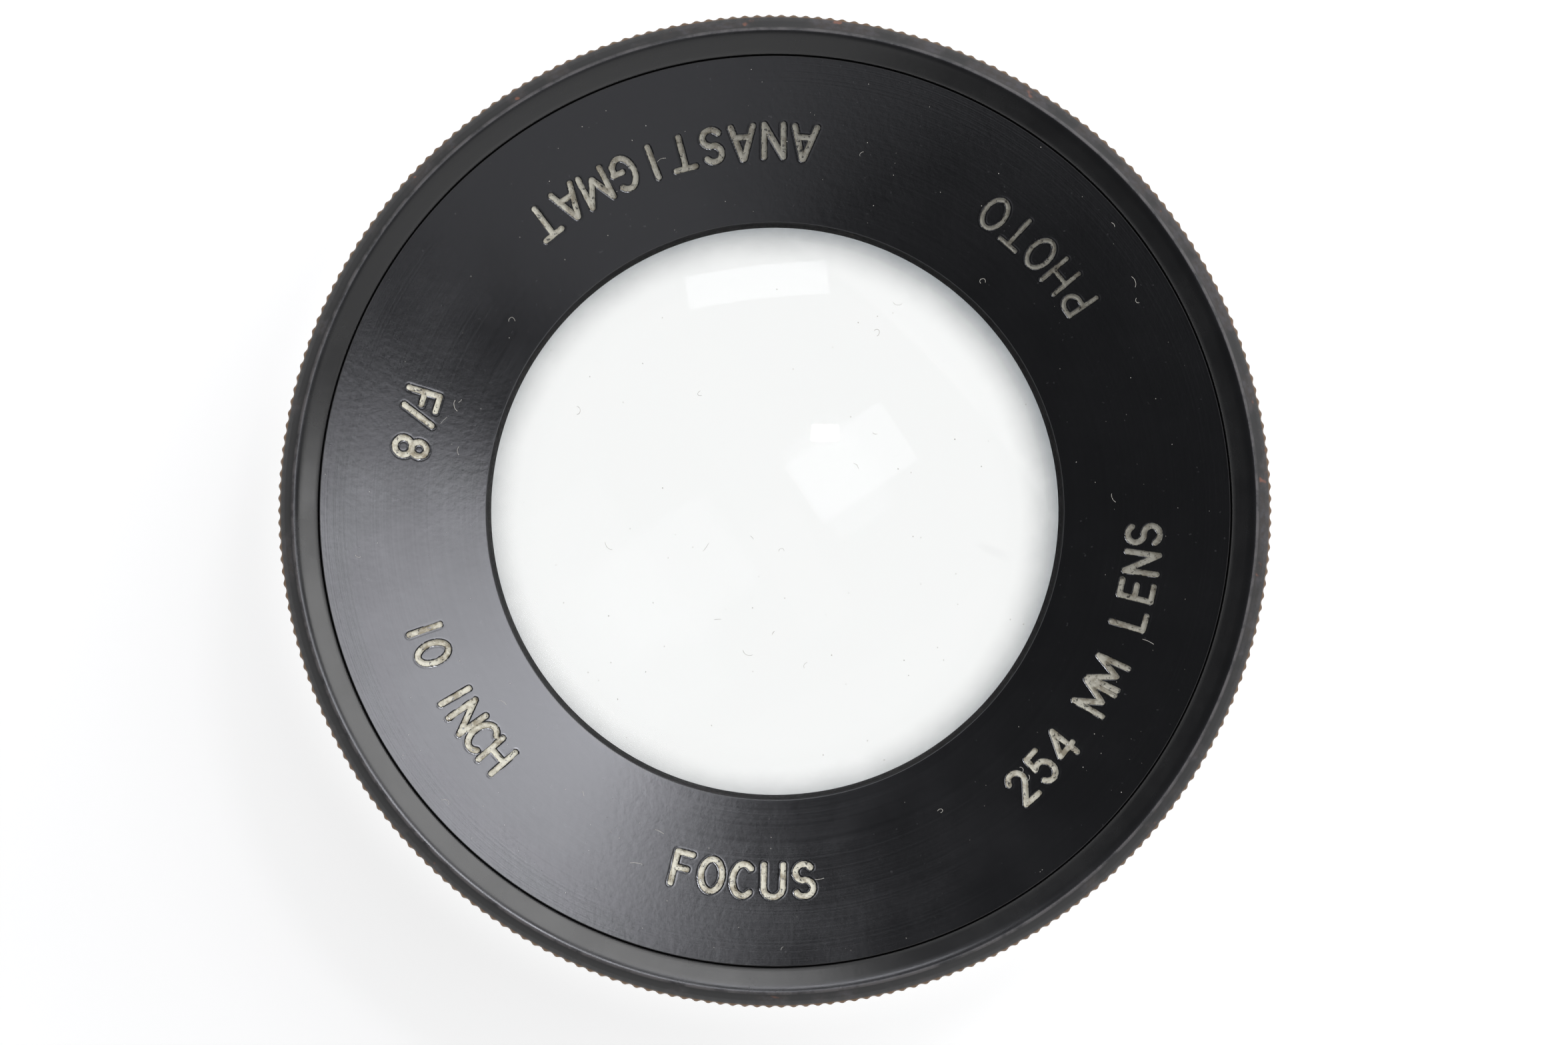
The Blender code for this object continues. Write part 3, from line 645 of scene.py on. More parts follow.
def face_points(letters, angles):
    """The engraved face, and how far each of its points is from a stroke."""
    low, high = LETTER_BASE - LETTER_HEIGHT - LETTER_MARGIN, LETTER_BASE + LETTER_MARGIN
    radii = np.concatenate([
        [FACE_OUTER[0]],
        np.linspace(FACE_OUTER[0] - SUPPORT, high, 9)[:-1],
        np.linspace(high, low, 58),
        np.linspace(low, FACE_INNER[0] + SUPPORT, 7)[1:],
        [FACE_INNER[0]],
    ])
    face = turned_points(np.stack([radii, face_height(radii)], axis=-1), angles)
    x, y = face[..., 0], face[..., 1]
    distance = np.full(x.shape, 1.0)
    for text, letter, angle in letters:
        width, strokes = GLYPHS[letter]
        if not strokes:
            continue
        c, s = math.cos(angle), math.sin(angle)
        columns = np.abs((angles - angle + math.pi) % TAU - math.pi) < LETTER_REACH
        px, py = x[:, columns], y[:, columns]
        tilt = rng.uniform(-0.03, 0.03)
        u = -px * s + py * c + width * LETTER_HEIGHT / 2.0
        v = LETTER_BASE + rng.uniform(-0.04, 0.04) * MM - (px * c + py * s)
        u = u + tilt * v
        found = stroke_distance(u, v, strokes, LETTER_HEIGHT)
        if text in THIN_WORDS:
            found = found + THINNER
        distance[:, columns] = np.minimum(distance[:, columns], found)
    face[..., 2] -= groove(distance, STROKE, GROOVE_DEPTH)
    return face, distance


def build_front_cell():
    """The engraved face, the lip round the glass, and the tube behind them."""
    letters = list(letter_centres(FACE_WORDS))
    angles = face_angles(letters)
    face, distance = face_points(letters, angles)
    lip = corner_mm(0.03, (18.063, 39.959), 104, 172, 5)
    rest = lip + mm((17.95, 39.6), (17.76, 39.2), (17.79, 39.05), (18.9, 38.9), (18.9, 36.8),
                    (17.9, 36.8))
    for i in range(1, TUBE_STEPS):
        share = i / TUBE_STEPS
        rest += mm((17.9 - 0.6 * share + (0.05 if i % 2 else 0.0), 36.8 - 4.8 * share))
    rest += mm((17.3, 32.0), (18.2, 32.0), (18.2, 25.1), (18.3, 25.0), (19.1, 25.0), (19.2, 25.1),
               (19.2, 33.5), (25.5, 33.5))
    for i in range(CELL_THREADS):
        z = 33.9 + i * 0.6
        rest += mm((25.42, z), (25.68, z + 0.3))
    rest += mm((25.5, 39.25), (28.32, 39.3), (28.41, 39.4))
    rest += corner_mm(0.05, (28.365, 41.0443), 0, 88, 4)
    points = np.concatenate([face, turned_points(rest, angles)])
    # lacquer on the face and its lip, flat black under the lip, then the ribbed tube
    slots = [0] * (len(face) + len(lip)) + [1] * 5 + [2] * (TUBE_STEPS + 3)
    slots += [1] * (len(points) - len(slots))
    plain = np.full((len(rest), len(angles)), 1.0)
    mesh = grid_mesh("front_cell_visual", points, wrap_rows=True, slots=slots,
                     distance=np.concatenate([distance, plain]))
    mesh.flip_normals()
    make_piece("front_cell_visual", mesh, (FACE, FLAT, TUBE), "barrel", ["front_cell"],
               40.0)


# ---- setting ring

TEETH = 254
SAMPLES_PER_TOOTH = 8
KNURL_DEPTH = 0.08 * MM
SKIRT_RADIUS = 29.6 * MM
SCALE_TOP = 24.0 * MM
SCALE_BOTTOM = 18.9 * MM
SCALE_DIGIT = 1.7 * MM
SCALE_TICK = 1.2 * MM
SCALE_HALF_STROKE = 0.14 * MM
SCALE_DEPTH = 0.09 * MM
DIGIT_GAP = 0.42
SCREW_ANGLE = math.radians(67.5)
SCREW_Z = 24.9 * MM
SEAT_TOP = 27.2 * MM
SEAT_BOTTOM = 22.6 * MM
SEAT_HALF_WIDTH = 2.3 * MM


def build_setting_ring():
    """Knurled rim with its rounded lip, and the skirt with the aperture scale."""
    samples = TEETH * SAMPLES_PER_TOOTH
    angles = azimuths(samples)
    tooth = np.cos(angles * TEETH)
    tooth = np.sign(tooth) * np.abs(tooth) ** 0.8
    bands = [
        (mm((28.48, 39.0), (28.48, 41.25), (28.50, 41.31), (28.56, 41.352), (28.72, 41.438),
            (28.95, 41.558), (29.18, 41.675), (29.40, 41.787), (29.60, 41.884), (29.75, 41.940),
            (29.87, 41.972), (29.97, 41.986), (30.06, 41.982), (30.14, 41.945), (30.30, 41.81),
            (30.52, 41.60), (30.74, 41.37)), 0.0),
        (mm((30.86, 41.20)), 0.25 * KNURL_DEPTH),
        (mm((30.90, 41.08)), 0.7 * KNURL_DEPTH),
        (mm((30.90, 40.90), (30.90, 38.0), (30.90, 34.0), (30.90, 29.72)), KNURL_DEPTH),
        (mm((30.86, 29.56)), 0.6 * KNURL_DEPTH),
        (mm((30.72, 29.40)), 0.1 * KNURL_DEPTH),
        (mm((30.50, 29.22), (30.30, 29.06), (29.25, 29.0))
         + corner_mm(0.12, (29.23, 28.88), 100, 180, 3) + mm((29.11, 28.40))
         + corner_mm(0.12, (29.23, 28.30), 180, 250, 3) + mm((29.40, 28.05))
         + corner_mm(0.16, (29.44, 27.84), 60, 0, 4) + [(SKIRT_RADIUS, SEAT_TOP)], 0.0),
    ]
    window_top = sum(len(points) for points, _ in bands)
    bands.append(([(SKIRT_RADIUS, z) for z in (SCALE_TOP, SEAT_BOTTOM, SCALE_BOTTOM)]
                  + corner_mm(0.14, (29.46, 17.94), 0, -90, 4)
                  + mm((28.0, 17.8), (27.75, 17.9)), 0.0))
    points = knurled_points(bands, tooth, angles)
    mesh = grid_mesh("setting_ring_visual", points, wrap_rows=True)
    mesh.flip_normals()
    work = bmesh.new()
    work.from_mesh(mesh)
    # open the windows that the engraved scale and the seat of the drive screw fill
    first, last = scale_columns(samples)
    middle = round(SCREW_ANGLE / TAU * samples)
    side = round(SEAT_HALF_WIDTH / SKIRT_RADIUS / TAU * samples)
    work.faces.ensure_lookup_table()
    doomed = []
    for row, columns in ((window_top, range(first, last)), (window_top + 1, range(first, last)),
                         (window_top - 1, range(middle - side, middle + side)),
                         (window_top, range(middle - side, middle + side))):
        doomed += [work.faces[row * samples + c] for c in columns]
    bmesh.ops.delete(work, geom=doomed, context="FACES")
    work.to_mesh(mesh)
    work.free()
    make_piece("setting_ring_visual", mesh, (RING, FLAT), "setting_ring", ["setting_ring"],
               40.0)
    build_scale(angles[first], angles[last])
    build_screw_seat(angles[middle - side], angles[middle + side])


def build_screw_seat(start, end):
    """The part of the skirt round the drive screw, with the counterbore of its head."""
    columns = 96
    turn = azimuths(columns)
    c, s = np.cos(turn), np.sin(turn)
    middle, half = (start + end) / 2.0, (end - start) / 2.0 * SKIRT_RADIUS
    # from the floor of the counterbore up its wall, then out to the edge of the window
    rows = [(0.3, 28.6), (0.9, 28.6), (1.8, 28.6), (1.85, 28.65), (1.85, 29.5), (1.93, 29.6)]
    grid = [(r * MM * c, r * MM * s, np.full(columns, depth * MM)) for r, depth in rows]
    edge_u = half * np.clip(c / np.maximum(np.abs(c), np.abs(s)), -1.0, 1.0)
    edge_v = s / np.maximum(np.abs(c), np.abs(s))
    edge_v = np.where(edge_v > 0.0, edge_v * (SEAT_TOP - SCREW_Z), edge_v * (SCREW_Z - SEAT_BOTTOM))
    for share in (0.33, 0.66, 1.0):
        u = edge_u * share + grid[5][0] * (1.0 - share)
        v = edge_v * share + grid[5][1] * (1.0 - share)
        grid.append((u, v, np.full(columns, SKIRT_RADIUS)))
    points = np.stack([np.stack([r * np.cos(middle + u / SKIRT_RADIUS),
                                 r * np.sin(middle + u / SKIRT_RADIUS), SCREW_Z + v], axis=-1)
                       for u, v, r in grid])
    mesh = grid_mesh("screw_seat", points, slots=[1, 1, 1, 0, 0, 0, 0, 0])
    make_piece("screw_seat", mesh, (RING, FLAT), "setting_ring", [], 50.0)


def scale_columns(samples):
    """First and last column of the skirt that the aperture scale covers."""
    first = int(samples * (360.0 - 142.0) / 360.0)
    last = int(samples * (360.0 - 83.0) / 360.0)
    return first, last


def build_scale(start, end):
    """The part of the skirt that carries the aperture numbers and their index lines."""
    u0, v0 = np.meshgrid(np.linspace(start, end, 420), np.linspace(SCALE_TOP, SCALE_BOTTOM, 74))
    distance = np.full(u0.shape, 1.0)
    tick = [[(0.0, -0.85), (0.0, 0.0)]]
    for i, stop in enumerate(SCALE_STOPS):
        centre = math.radians(270.0 - i * 45.0 / (len(SCALE_STOPS) - 1))
        u = (u0 - centre) * SKIRT_RADIUS
        v = v0 - (SCALE_TOP - 3.3 * MM)
        widths = [GLYPHS[digit][0] for digit in stop]
        x = -(sum(widths) + DIGIT_GAP * (len(stop) - 1)) / 2.0
        for digit, width in zip(stop, widths):
            found = stroke_distance(u - x * SCALE_DIGIT, v, GLYPHS[digit][1], SCALE_DIGIT)
            distance = np.minimum(distance, found)
            x += width + DIGIT_GAP
        found = stroke_distance(u, v0 - SCALE_BOTTOM - 1.15 * MM, tick, SCALE_TICK)
        distance = np.minimum(distance, found)
    r = SKIRT_RADIUS - groove(distance, SCALE_HALF_STROKE, SCALE_DEPTH)
    points = np.stack([r * np.cos(u0), r * np.sin(u0), v0], axis=-1)
    mesh = grid_mesh("aperture_scale", points, wrap_columns=False, distance=distance)
    make_piece("aperture_scale", mesh, (RING,), "setting_ring", [], 50.0)


# ---- glasses

def sag(curve, radius):
    depth = abs(curve) - math.sqrt(curve ** 2 - radius ** 2)
    return math.copysign(depth, curve)


FRONT_GLASS_TOP = 41.7
FRONT_GLASS_CURVE = 52.0
GLASS_BEVEL = 0.25 * MM
GLASS_STEPS = 22


def build_glass(node, rim, heights, curves, front):
    """One lens with polished faces, small ground bevels and a blackened rim."""
    inside = rim - GLASS_BEVEL
    steps = [inside * (i / GLASS_STEPS) ** 0.8 for i in range(GLASS_STEPS + 1)]
    profile = [(r, heights[1] - sag(curves[1], r)) for r in steps]
    front_z = profile[-1][1] - sag(curves[1], rim) + sag(curves[1], inside)
    rear = [(r, heights[0] + sag(curves[0], r)) for r in reversed(steps)]
    profile += [(rim, front_z - GLASS_BEVEL * 0.6), (rim, rear[0][1] + GLASS_BEVEL * 0.6)] + rear
    slots = [2] * GLASS_STEPS + [1] * 3 + [0] * GLASS_STEPS
    mesh = lathe_mesh(node + "_visual", profile, azimuths(128), closed=False, slots=slots)
    make_piece(node + "_visual", mesh, (GLASS, GROUND, front), "barrel", [node],
               30.0)


def build_glasses():
    """Each lens in millimetres: rim radius, heights and curves of its rear and front face."""
    for node, rim, heights, curves, front in (
            ("front_lens", 18.6, (36.4, FRONT_GLASS_TOP), (220.0, FRONT_GLASS_CURVE), FRONT_GLASS),
            ("middle_lens", 17.9, (29.25, 31.05), (-130.0, -260.0), GLASS),
            ("rear_crown_lens", 19.0, (1.3, 8.1), (96.0, 58.0), GLASS),
            ("rear_flint_lens", 19.0, (8.2, 10.2), (-58.0, -500.0), GLASS)):
        build_glass(node, rim * MM, *mm(heights, curves), front)


# ---- barrel and rear

def thread(crest, root, top, bottom, pitch, angles):
    """Rows of a helical thread, one turn per pitch, running out at both ends."""
    per_turn = 8
    rows = int((top - bottom) / pitch * per_turn)
    heights = np.linspace(top, bottom, rows)[:, None] * np.ones(len(angles))
    phase = (heights / pitch - angles / TAU) % 1.0
    tooth = np.clip(np.abs(phase - 0.5) * 2.6 - 0.15, 0.0, 1.0)
    fade = np.clip((top - heights) / pitch, 0.0, 1.0) * np.clip((heights - bottom) / pitch, 0.0,
                                                                1.0)
    radii = crest - (crest - root) * (1.0 - tooth) * fade
    return np.stack([radii * np.cos(angles), radii * np.sin(angles), heights], axis=-1)


def build_barrel():
    """Collar, mounting thread, and the bearing under the ring."""
    angles = azimuths(384)
    top = mm((26.0, 39.0), (27.5, 39.0), (27.6, 38.9), (27.6, 17.62), (27.7, 17.5), (29.2, 17.5))
    top += corner_mm(0.35, (29.25, 17.15), 88, 0, 6)
    collar = [(29.6 * MM, z * MM) for z in np.linspace(17.0, 13.5, 20)]
    seat = corner_mm(0.35, (29.25, 13.35), 0, -90, 6)
    seat += mm((26.0, 13.0), (25.4, 13.0), (25.35, 12.9), (24.75, 12.7), (24.75, 12.1),
               (25.35, 11.8))
    screw = thread(25.39 * MM, 24.78 * MM, 11.7 * MM, 2.9 * MM, 25.4 / 24.0 * MM, angles)
    rear = mm((25.2, 2.75), (24.75, 2.2), (24.6, 2.1), (22.3, 2.1), (22.3, 13.2), (20.0, 13.2),
              (20.0, 16.4), (16.9, 16.4), (16.9, 17.9), (26.0, 17.9))
    outside = turned_points(top + collar + seat, angles)
    points = np.concatenate([outside, screw, turned_points(rear, angles)])
    # lacquer down to the rear edge, which is the first three points of the last part
    lacquered = len(outside) + len(screw) + 3
    slots = [0] * lacquered + [1] * (len(points) - lacquered)
    mesh = grid_mesh("barrel_visual", points, wrap_rows=True, slots=slots)
    make_piece("barrel_visual", mesh, (BODY, FLAT), "barrel", ["barrel"], 40.0)


def build_index_line():
    """The line on the collar that the aperture scale is read against."""
    work = bmesh.new()
    bmesh.ops.create_cube(work, size=1.0,
                          matrix=Matrix.Diagonal((0.28 * MM, 0.1 * MM, 3.2 * MM, 1)))
    bmesh.ops.translate(work, verts=work.verts, vec=(0.0, -29.57 * MM, 15.3 * MM))
    bmesh.ops.bevel(work, geom=work.edges[:], offset=0.03 * MM, segments=2, affect="EDGES")
    mesh = bpy.data.meshes.new("index_line")
    work.to_mesh(mesh)
    work.free()
    store_distance(mesh, np.zeros(len(mesh.vertices)))
    make_piece("index_line", mesh, (BODY,), "barrel", [])


def slotted(name, node, profile, slots, cut_size, cut_centre, materials):
    mesh = lathe_mesh(name, profile, azimuths(192), slots=slots)
    mesh = boolean(mesh, [block_mesh(cut_size, cut_centre)], name)
    make_piece(name, mesh, materials, "barrel", [node], 35.0)


def build_rear():
    """The rear cell, and the two slotted rings that hold the glasses."""
    outside = corner_mm(0.2, (21.8, 12.4), 90, 0, 3) + mm((22.0, 1.85), (22.05, 1.8))
    outside += corner_mm(0.2, (23.8, 1.6), 90, 0, 4) + corner_mm(0.3, (23.7, 0.3), 0, -90, 5)
    outside += mm((20.25, 0.0), (20.15, 0.03), (19.35, 0.85), (19.3, 0.95))
    inside = mm((19.3, 10.9), (15.8, 10.9), (15.82, 11.0), (17.4, 12.6))
    slotted("rear_cell_visual", "rear_cell", outside + inside,
            [0] * len(outside) + [1] * len(inside), (60.0 * MM, 2.4 * MM, 1.2 * MM),
            (0.0, 0.0, -0.1 * MM), (BODY, FLAT))
    for name, outer, inner, bottom, top in (
            ("rear_retaining_ring", 19.0, 17.7, 1.0, 2.6),
            ("middle_retaining_ring", 17.9, 17.1, 26.4, 27.6)):
        profile = mm((outer - 0.1, top), (outer, top - 0.1), (outer, bottom + 0.12),
                     (outer - 0.12, bottom), (inner + 0.1, bottom), (inner, bottom + 0.1),
                     (inner, top - 0.1), (inner + 0.1, top))
        slotted(name + "_visual", name, profile, None,
                (60.0 * MM, 1.2 * MM, (top - bottom) * MM), (0.0, 0.0, bottom * MM),
                (FLAT,))


BOARD_RING_TEETH = 240
FINGER_NOTCHES = 6


def build_board_ring():
    """Clamping ring with rounded edges, six finger notches and a knurl between them."""
    samples = BOARD_RING_TEETH * 6
    angles = azimuths(samples)
    bore = []
    for i in range(6):
        z = 4.7 + i * 0.5
        bore += mm((25.72, z), (25.95, z + 0.22))
    bands = [
        (mm((25.8, 7.6)) + corner_mm(0.35, (29.8, 7.25), 90, 20, 5), 0.0),
        (mm((30.14, 7.1), (30.14, 5.1)), 0.055 * MM),
        (corner_mm(0.35, (29.8, 4.95), -20, -90, 5) + mm((25.8, 4.6)) + bore[:-1], 0.0),
    ]
    points = knurled_points(bands, np.cos(angles * BOARD_RING_TEETH), angles)
    mesh = grid_mesh("board_ring", points, wrap_rows=True)
    notches = []
    for i in range(FINGER_NOTCHES):
        a = TAU * (i + 0.5) / FINGER_NOTCHES
        centre = (30.2 * MM * math.cos(a), 30.2 * MM * math.sin(a))
        notches.append(rod_mesh(1.5 * MM, 3.6 * MM, 8.6 * MM, centre))
    mesh = boolean(mesh, notches, "lens_board_ring_visual")
    make_piece("lens_board_ring_visual", mesh, (BODY,), "lens_board_ring", ["lens_board_ring"],
               35.0)


def build_drive_screw():
    """Cheese-head screw, slightly domed, with its slot along the axis of the lens."""
    top = 29.44 * MM
    profile = [(0.0, top)] + [(r * MM, top - 0.02 * r * r * MM) for r in (0.4, 0.8, 1.2)]
    profile += corner(0.18 * MM, (1.52 * MM, top - 0.24 * MM), 88, 0, 5)
    profile += [(1.70 * MM, top - 0.75 * MM), (0.9 * MM, top - 0.75 * MM), (0.9 * MM, 24.8 * MM),
                (0.8 * MM, 24.7 * MM), (0.0, 24.7 * MM)]
    mesh = lathe_mesh("drive_screw_visual", profile, azimuths(64), closed=False)
    mesh = boolean(mesh, [block_mesh((0.5 * MM, 5.0 * MM, 0.8 * MM), (0.0, 0.0, top))],
                   "drive_screw_visual")
    mesh.transform(Matrix.Translation((0.0, 0.0, SCREW_Z))
                   @ Matrix.Rotation(SCREW_ANGLE, 4, "Z")
                   @ Matrix.Rotation(math.pi / 2.0, 4, "Y"))
    make_piece("drive_screw_visual", mesh, (OLD_BRASS,), "setting_ring", ["drive_screw"])


# ---- iris

BLADES = 12
PIVOT_CIRCLE = 23.2 * MM
PIN_ARM = 5.0 * MM
PIN_ARM_ANGLE = math.radians(-108.8)
PIN_RADIUS = 0.35 * MM
PIN_FOOT_Z = 18.35 * MM
PIN_HEAD_Z = 22.8 * MM
LOWEST_BLADE_Z = 19.25 * MM
BLADE_PITCH = 0.25 * MM
BLADE_THICKNESS = 0.12 * MM


def blade_outline():
    """Outline of one blade, and the centre of its drive pin."""
    pin_x = PIVOT_CIRCLE + PIN_ARM * math.cos(PIN_ARM_ANGLE)
    pin_y = PIN_ARM * math.sin(PIN_ARM_ANGLE)
    inner, outer, ear = 16.6 * MM, 21.5 * MM, 0.8 * MM
    half, middle = (outer - inner) / 2.0, (outer + inner) / 2.0
    end = 140.0
    head = (middle * math.cos(math.radians(end)), middle * math.sin(math.radians(end)))
    points = corner(inner, (0.0, 0.0), end, -6.0, 90)
    points += corner(ear, (pin_x, pin_y), -160.0, -20.0, 12)
    points += corner(ear, (PIVOT_CIRCLE, 0.0), -20.0, 110.0, 12)
    points += corner(outer, (0.0, 0.0), 7.0, end, 90)
    points += corner(half, head, end, end + 180.0, 16)[1:-1]
    return points, (pin_x, pin_y)


def build_blades():
    outline, pin = blade_outline()
    for index in range(BLADES):
        name = f"iris_blade_{index + 1:02d}"
        level = LOWEST_BLADE_Z + BLADE_PITCH * index
        work = bmesh.new()
        low = [work.verts.new((x, y, level)) for x, y in outline]
        base = work.faces.new(low)
        grown = bmesh.ops.extrude_face_region(work, geom=[base])["geom"]
        bmesh.ops.translate(work, vec=(0.0, 0.0, BLADE_THICKNESS),
                            verts=[g for g in grown if isinstance(g, bmesh.types.BMVert)])
        for (x, y), bottom, top in (
                ((PIVOT_CIRCLE, 0.0), PIN_FOOT_Z, level + BLADE_THICKNESS * 1.4),
                (pin, level + BLADE_THICKNESS, PIN_HEAD_Z)):
            made = bmesh.ops.create_cone(work, cap_ends=True, segments=20, radius1=PIN_RADIUS,
                                         radius2=PIN_RADIUS, depth=top - bottom)
            bmesh.ops.translate(work, verts=made["verts"], vec=(x, y, (top + bottom) / 2.0))
        bmesh.ops.recalc_face_normals(work, faces=work.faces)
        bmesh.ops.rotate(work, verts=work.verts, cent=(0.0, 0.0, 0.0),
                         matrix=Matrix.Rotation(TAU * index / BLADES, 3, "Z"))
        mesh = bpy.data.meshes.new(name + "_visual")
        work.to_mesh(mesh)
        work.free()
        make_piece(name + "_visual", mesh, (STEEL,), name, [name], 30.0)


def dress_cad_nodes():
    for node, material in (("iris_base_plate", FLAT), ("iris_drive_ring", OLD_BRASS),
                           ("iris_retaining_ring", STEEL)):
        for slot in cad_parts[node].material_slots:
            slot.material = material


# ---- dust

HAIRS = 40
HAIR_STEP = 0.07 * MM
HAIR_LIFT = 0.012 * MM
HAIR_SIDES = 5
SPECKS = 260
FACE_EDGE = 28.2 * MM


def fibre(points, thickness):
    """A short hair as a tube along points, returned as verts and quads."""
    verts, faces = [], []
    for i, point in enumerate(points):
        before = Vector(points[max(i - 1, 0)])
        after = Vector(points[min(i + 1, len(points) - 1)])
        along = (after - before).normalized()
        side = along.cross(Vector((0.0, 0.0, 1.0))).normalized()
        up = side.cross(along)
        for k in range(HAIR_SIDES):
            a = TAU * k / HAIR_SIDES
            offset = (side * math.cos(a) + up * math.sin(a)) * thickness
            verts.append(tuple(Vector(point) + offset))
    for i in range(len(points) - 1):
        here, there = i * HAIR_SIDES, (i + 1) * HAIR_SIDES
        for k in range(HAIR_SIDES):
            after = (k + 1) % HAIR_SIDES
            faces.append((here + k, here + after, there + after, there + k))
    return verts, faces


def surface_height(radius):
    """Height of the face or the front glass at a radius."""
    if radius > FACE_INNER[0]:
        return face_height(radius)
    return FRONT_GLASS_TOP * MM - sag(FRONT_GLASS_CURVE * MM, min(radius, 18.0 * MM))


def build_dust():
    """Specks and hairs on the glass and the face."""
    verts, faces = [], []

    def take(more_verts, more_faces):
        base = len(verts)
        verts.extend(more_verts)
        faces.extend([tuple(base + i for i in face) for face in more_faces])

    for i in range(HAIRS):
        on_glass = i % 3 == 0
        radius = rng.uniform(2.0, 17.0) * MM if on_glass else rng.uniform(18.9, 28.0) * MM
        angle = rng.uniform(0.0, TAU)
        heading = rng.uniform(0.0, TAU)
        bend = rng.uniform(-0.6, 0.6)
        x, y = radius * math.cos(angle), radius * math.sin(angle)
        points = []
        for _ in range(rng.randint(5, 12)):
            points.append((x, y, surface_height(math.hypot(x, y)) + HAIR_LIFT))
            x += HAIR_STEP * math.cos(heading)
            y += HAIR_STEP * math.sin(heading)
            heading += bend * rng.uniform(0.3, 1.3)
            away = math.hypot(x, y)
            # a hair ends at the edge of the face and at the step round the glass
            if not 1.0 * MM < away < FACE_EDGE or 17.6 * MM < away < 18.7 * MM:
                break
        if len(points) > 2:
            take(*fibre(points, rng.uniform(0.009, 0.016) * MM))
    for _ in range(SPECKS):
        radius = math.sqrt(rng.uniform(0.02, 1.0)) * FACE_EDGE
        if 17.7 * MM < radius < 18.6 * MM:
            continue
        angle = rng.uniform(0.0, TAU)
        size = rng.uniform(0.012, 0.045 if radius < 17.7 * MM else 0.034) * MM
        z = surface_height(radius)
        cx, cy = radius * math.cos(angle), radius * math.sin(angle)
        shape = bmesh.new()
        bmesh.ops.create_icosphere(shape, subdivisions=1, radius=size)
        for vert in shape.verts:
            vert.co *= rng.uniform(0.7, 1.25)
            vert.co.z *= 0.6
        take([(v.co.x + cx, v.co.y + cy, v.co.z + z + size * 0.3) for v in shape.verts],
             [tuple(v.index for v in f.verts) for f in shape.faces])
        shape.free()
    mesh = bpy.data.meshes.new("dust_specks")
    mesh.from_pydata(verts, [], faces)
    make_piece("dust_specks", mesh, (DUST,), "barrel")


# ---- stage, light, camera

def build_stage():
    """A pale floor that curves up into a round wall, bright as a light tent."""
    n = Nodes("pale_floor")
    radius = n.radius()
    # painted light and shade: under the lens the floor glows brighter and its colour is darker, so
    # the lens's shadow and the light it focuses don't show
    tone_and_painted_shade = n.mix(n.ramp(radius, 29.0 * MM, 33.0 * MM), (0.03, 0.03, 0.03), (0.24, 0.24, 0.24))
    glow_and_painted_light = n.ramp(radius, 29.0 * MM, 36.0 * MM, 0.95, 0.745)
    material = n.finish(Base_Color=tone_and_painted_shade, Roughness=0.8, Emission_Color=(1.0, 1.0, 1.0),
                        Emission_Strength=glow_and_painted_light)
    # the floor shows only its upper side, so that the rear of the lens can be seen from below
    clear = n.node("ShaderNodeBsdfTransparent")
    side = n.node("ShaderNodeNewGeometry")
    blend = n.node("ShaderNodeMixShader")
    output = n.tree.nodes["Material Output"]
    n.feed(blend.inputs[0], side.outputs["Backfacing"])
    n.feed(blend.inputs[1], n.shader.outputs[0])
    n.feed(blend.inputs[2], clear.outputs[0])
    n.feed(output.inputs["Surface"], blend.outputs[0])
    drop = -0.02 * MM
    profile = [(0.0, drop), (0.5, drop), (0.9, drop)]
    profile += corner(0.3, (0.9, 0.3), -80, 0, 9)
    profile += [(1.2, 0.86)]
    mesh = lathe_mesh("pale_floor", profile, azimuths(96), closed=False)
    mesh.materials.append(material)
    mesh.shade_smooth()
    floor = add_object("pale_floor", mesh)

# How far the softboxes stand from the lens
NEAR = 1.1
FAR = 1.3
WORLD_LIGHT = 0.10
WORLD_SEEN = 0.80
def area_light(name, direction, distance, size, power, spin=0.0, colour=(1.0, 1.0, 1.0)):
    """A softbox at (azimuth, angle off the optical axis) that looks at the lens."""
    azimuth, tilt = math.radians(direction[0]), math.radians(direction[1])
    aim = Vector((math.sin(tilt) * math.cos(azimuth), math.sin(tilt) * math.sin(azimuth),
                  math.cos(tilt)))
    light = bpy.data.lights.new(name, "AREA")
    light.shape = "RECTANGLE"
    light.size, light.size_y = size
    light.energy = power
    light.color = colour
    lamp = add_object(name, light)
    lamp.location = Vector((0.0, 0.0, 0.04)) + aim * distance
    across = Vector((-math.sin(azimuth), math.cos(azimuth), 0.0))
    across.rotate(Matrix.Rotation(math.radians(spin), 3, aim))
    lamp.rotation_euler = Matrix((across, aim.cross(across), aim)).transposed().to_euler()


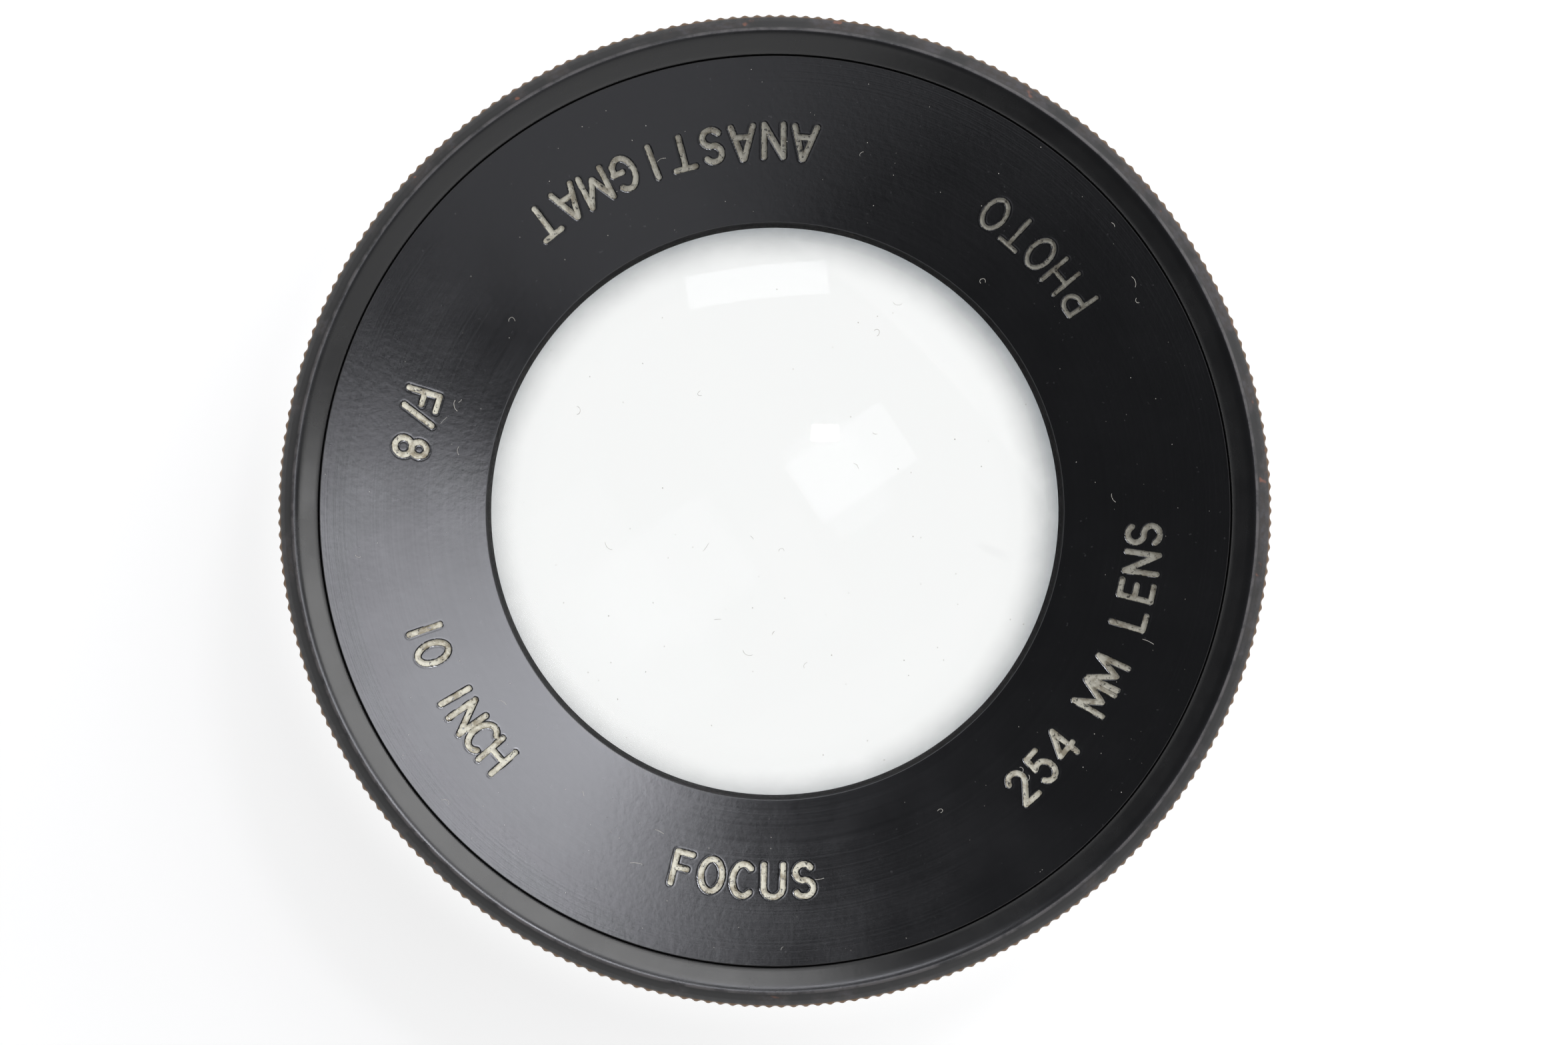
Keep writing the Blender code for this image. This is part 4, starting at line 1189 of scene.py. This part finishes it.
def build_lights():
    world = bpy.data.worlds.new("studio")
    world.use_nodes = True
    tree = world.node_tree
    background = tree.nodes["Background"]
    background.inputs["Color"].default_value = (0.92, 0.96, 1.0, 1.0)
    # pale where the camera looks past the floor, dim as a light
    seen = tree.nodes.new("ShaderNodeLightPath")
    level = tree.nodes.new("ShaderNodeMapRange")
    level.inputs["To Min"].default_value = WORLD_LIGHT
    level.inputs["To Max"].default_value = WORLD_SEEN
    tree.links.new(seen.outputs["Is Camera Ray"], level.inputs["Value"])
    tree.links.new(level.outputs[0], background.inputs["Strength"])
    scene.world = world
    cool = (0.92, 0.93, 1.0)
    area_light("hot", (57.0, 15.0), NEAR, (0.075, 0.045), 1.75, spin=33.0, colour=cool)
    area_light("key", (34.0, 14.6), NEAR, (0.20, 0.34), 1.86, colour=cool)
    area_light("fill", (-60.0, 9.1), NEAR, (0.15, 0.37), 0.17, colour=cool)
    area_light("side", (44.0, 51.0), FAR, (2.1, 0.8), 26.0)
    area_light("low_side", (-60.0, 46.0), FAR, (1.6, 0.95), 4.5)
    area_light("window", (93.0, 35.6), NEAR, (0.39, 0.10), 1.7, spin=4.0, colour=cool)


CAMERA_LEAN = 1.2
CAMERA_DISTANCE = 0.4073


def build_camera():
    camera = bpy.data.cameras.new("camera")
    camera.lens = 150.0
    camera.sensor_width = 36.0
    camera.clip_start = 0.01
    holder = add_object("camera", camera)
    target = Vector((0.538 * MM, -0.738 * MM, 41.0 * MM))
    lean = math.radians(CAMERA_LEAN)
    away = Vector((-math.sin(lean) * 0.707, -math.sin(lean) * 0.707, math.cos(lean)))
    holder.location = target + away * CAMERA_DISTANCE
    right = Vector((0.0, 1.0, 0.0)).cross(away).normalized()
    turn = Matrix((right, away.cross(right), away)).transposed()
    holder.rotation_euler = turn.to_euler()
    scene.camera = holder
    scene.view_settings.view_transform = "Standard"


build_front_cell()
build_setting_ring()
build_glasses()
build_barrel()
build_index_line()
build_rear()
build_board_ring()
build_drive_screw()
build_blades()
dress_cad_nodes()
build_dust()
build_stage()
build_lights()
build_camera()
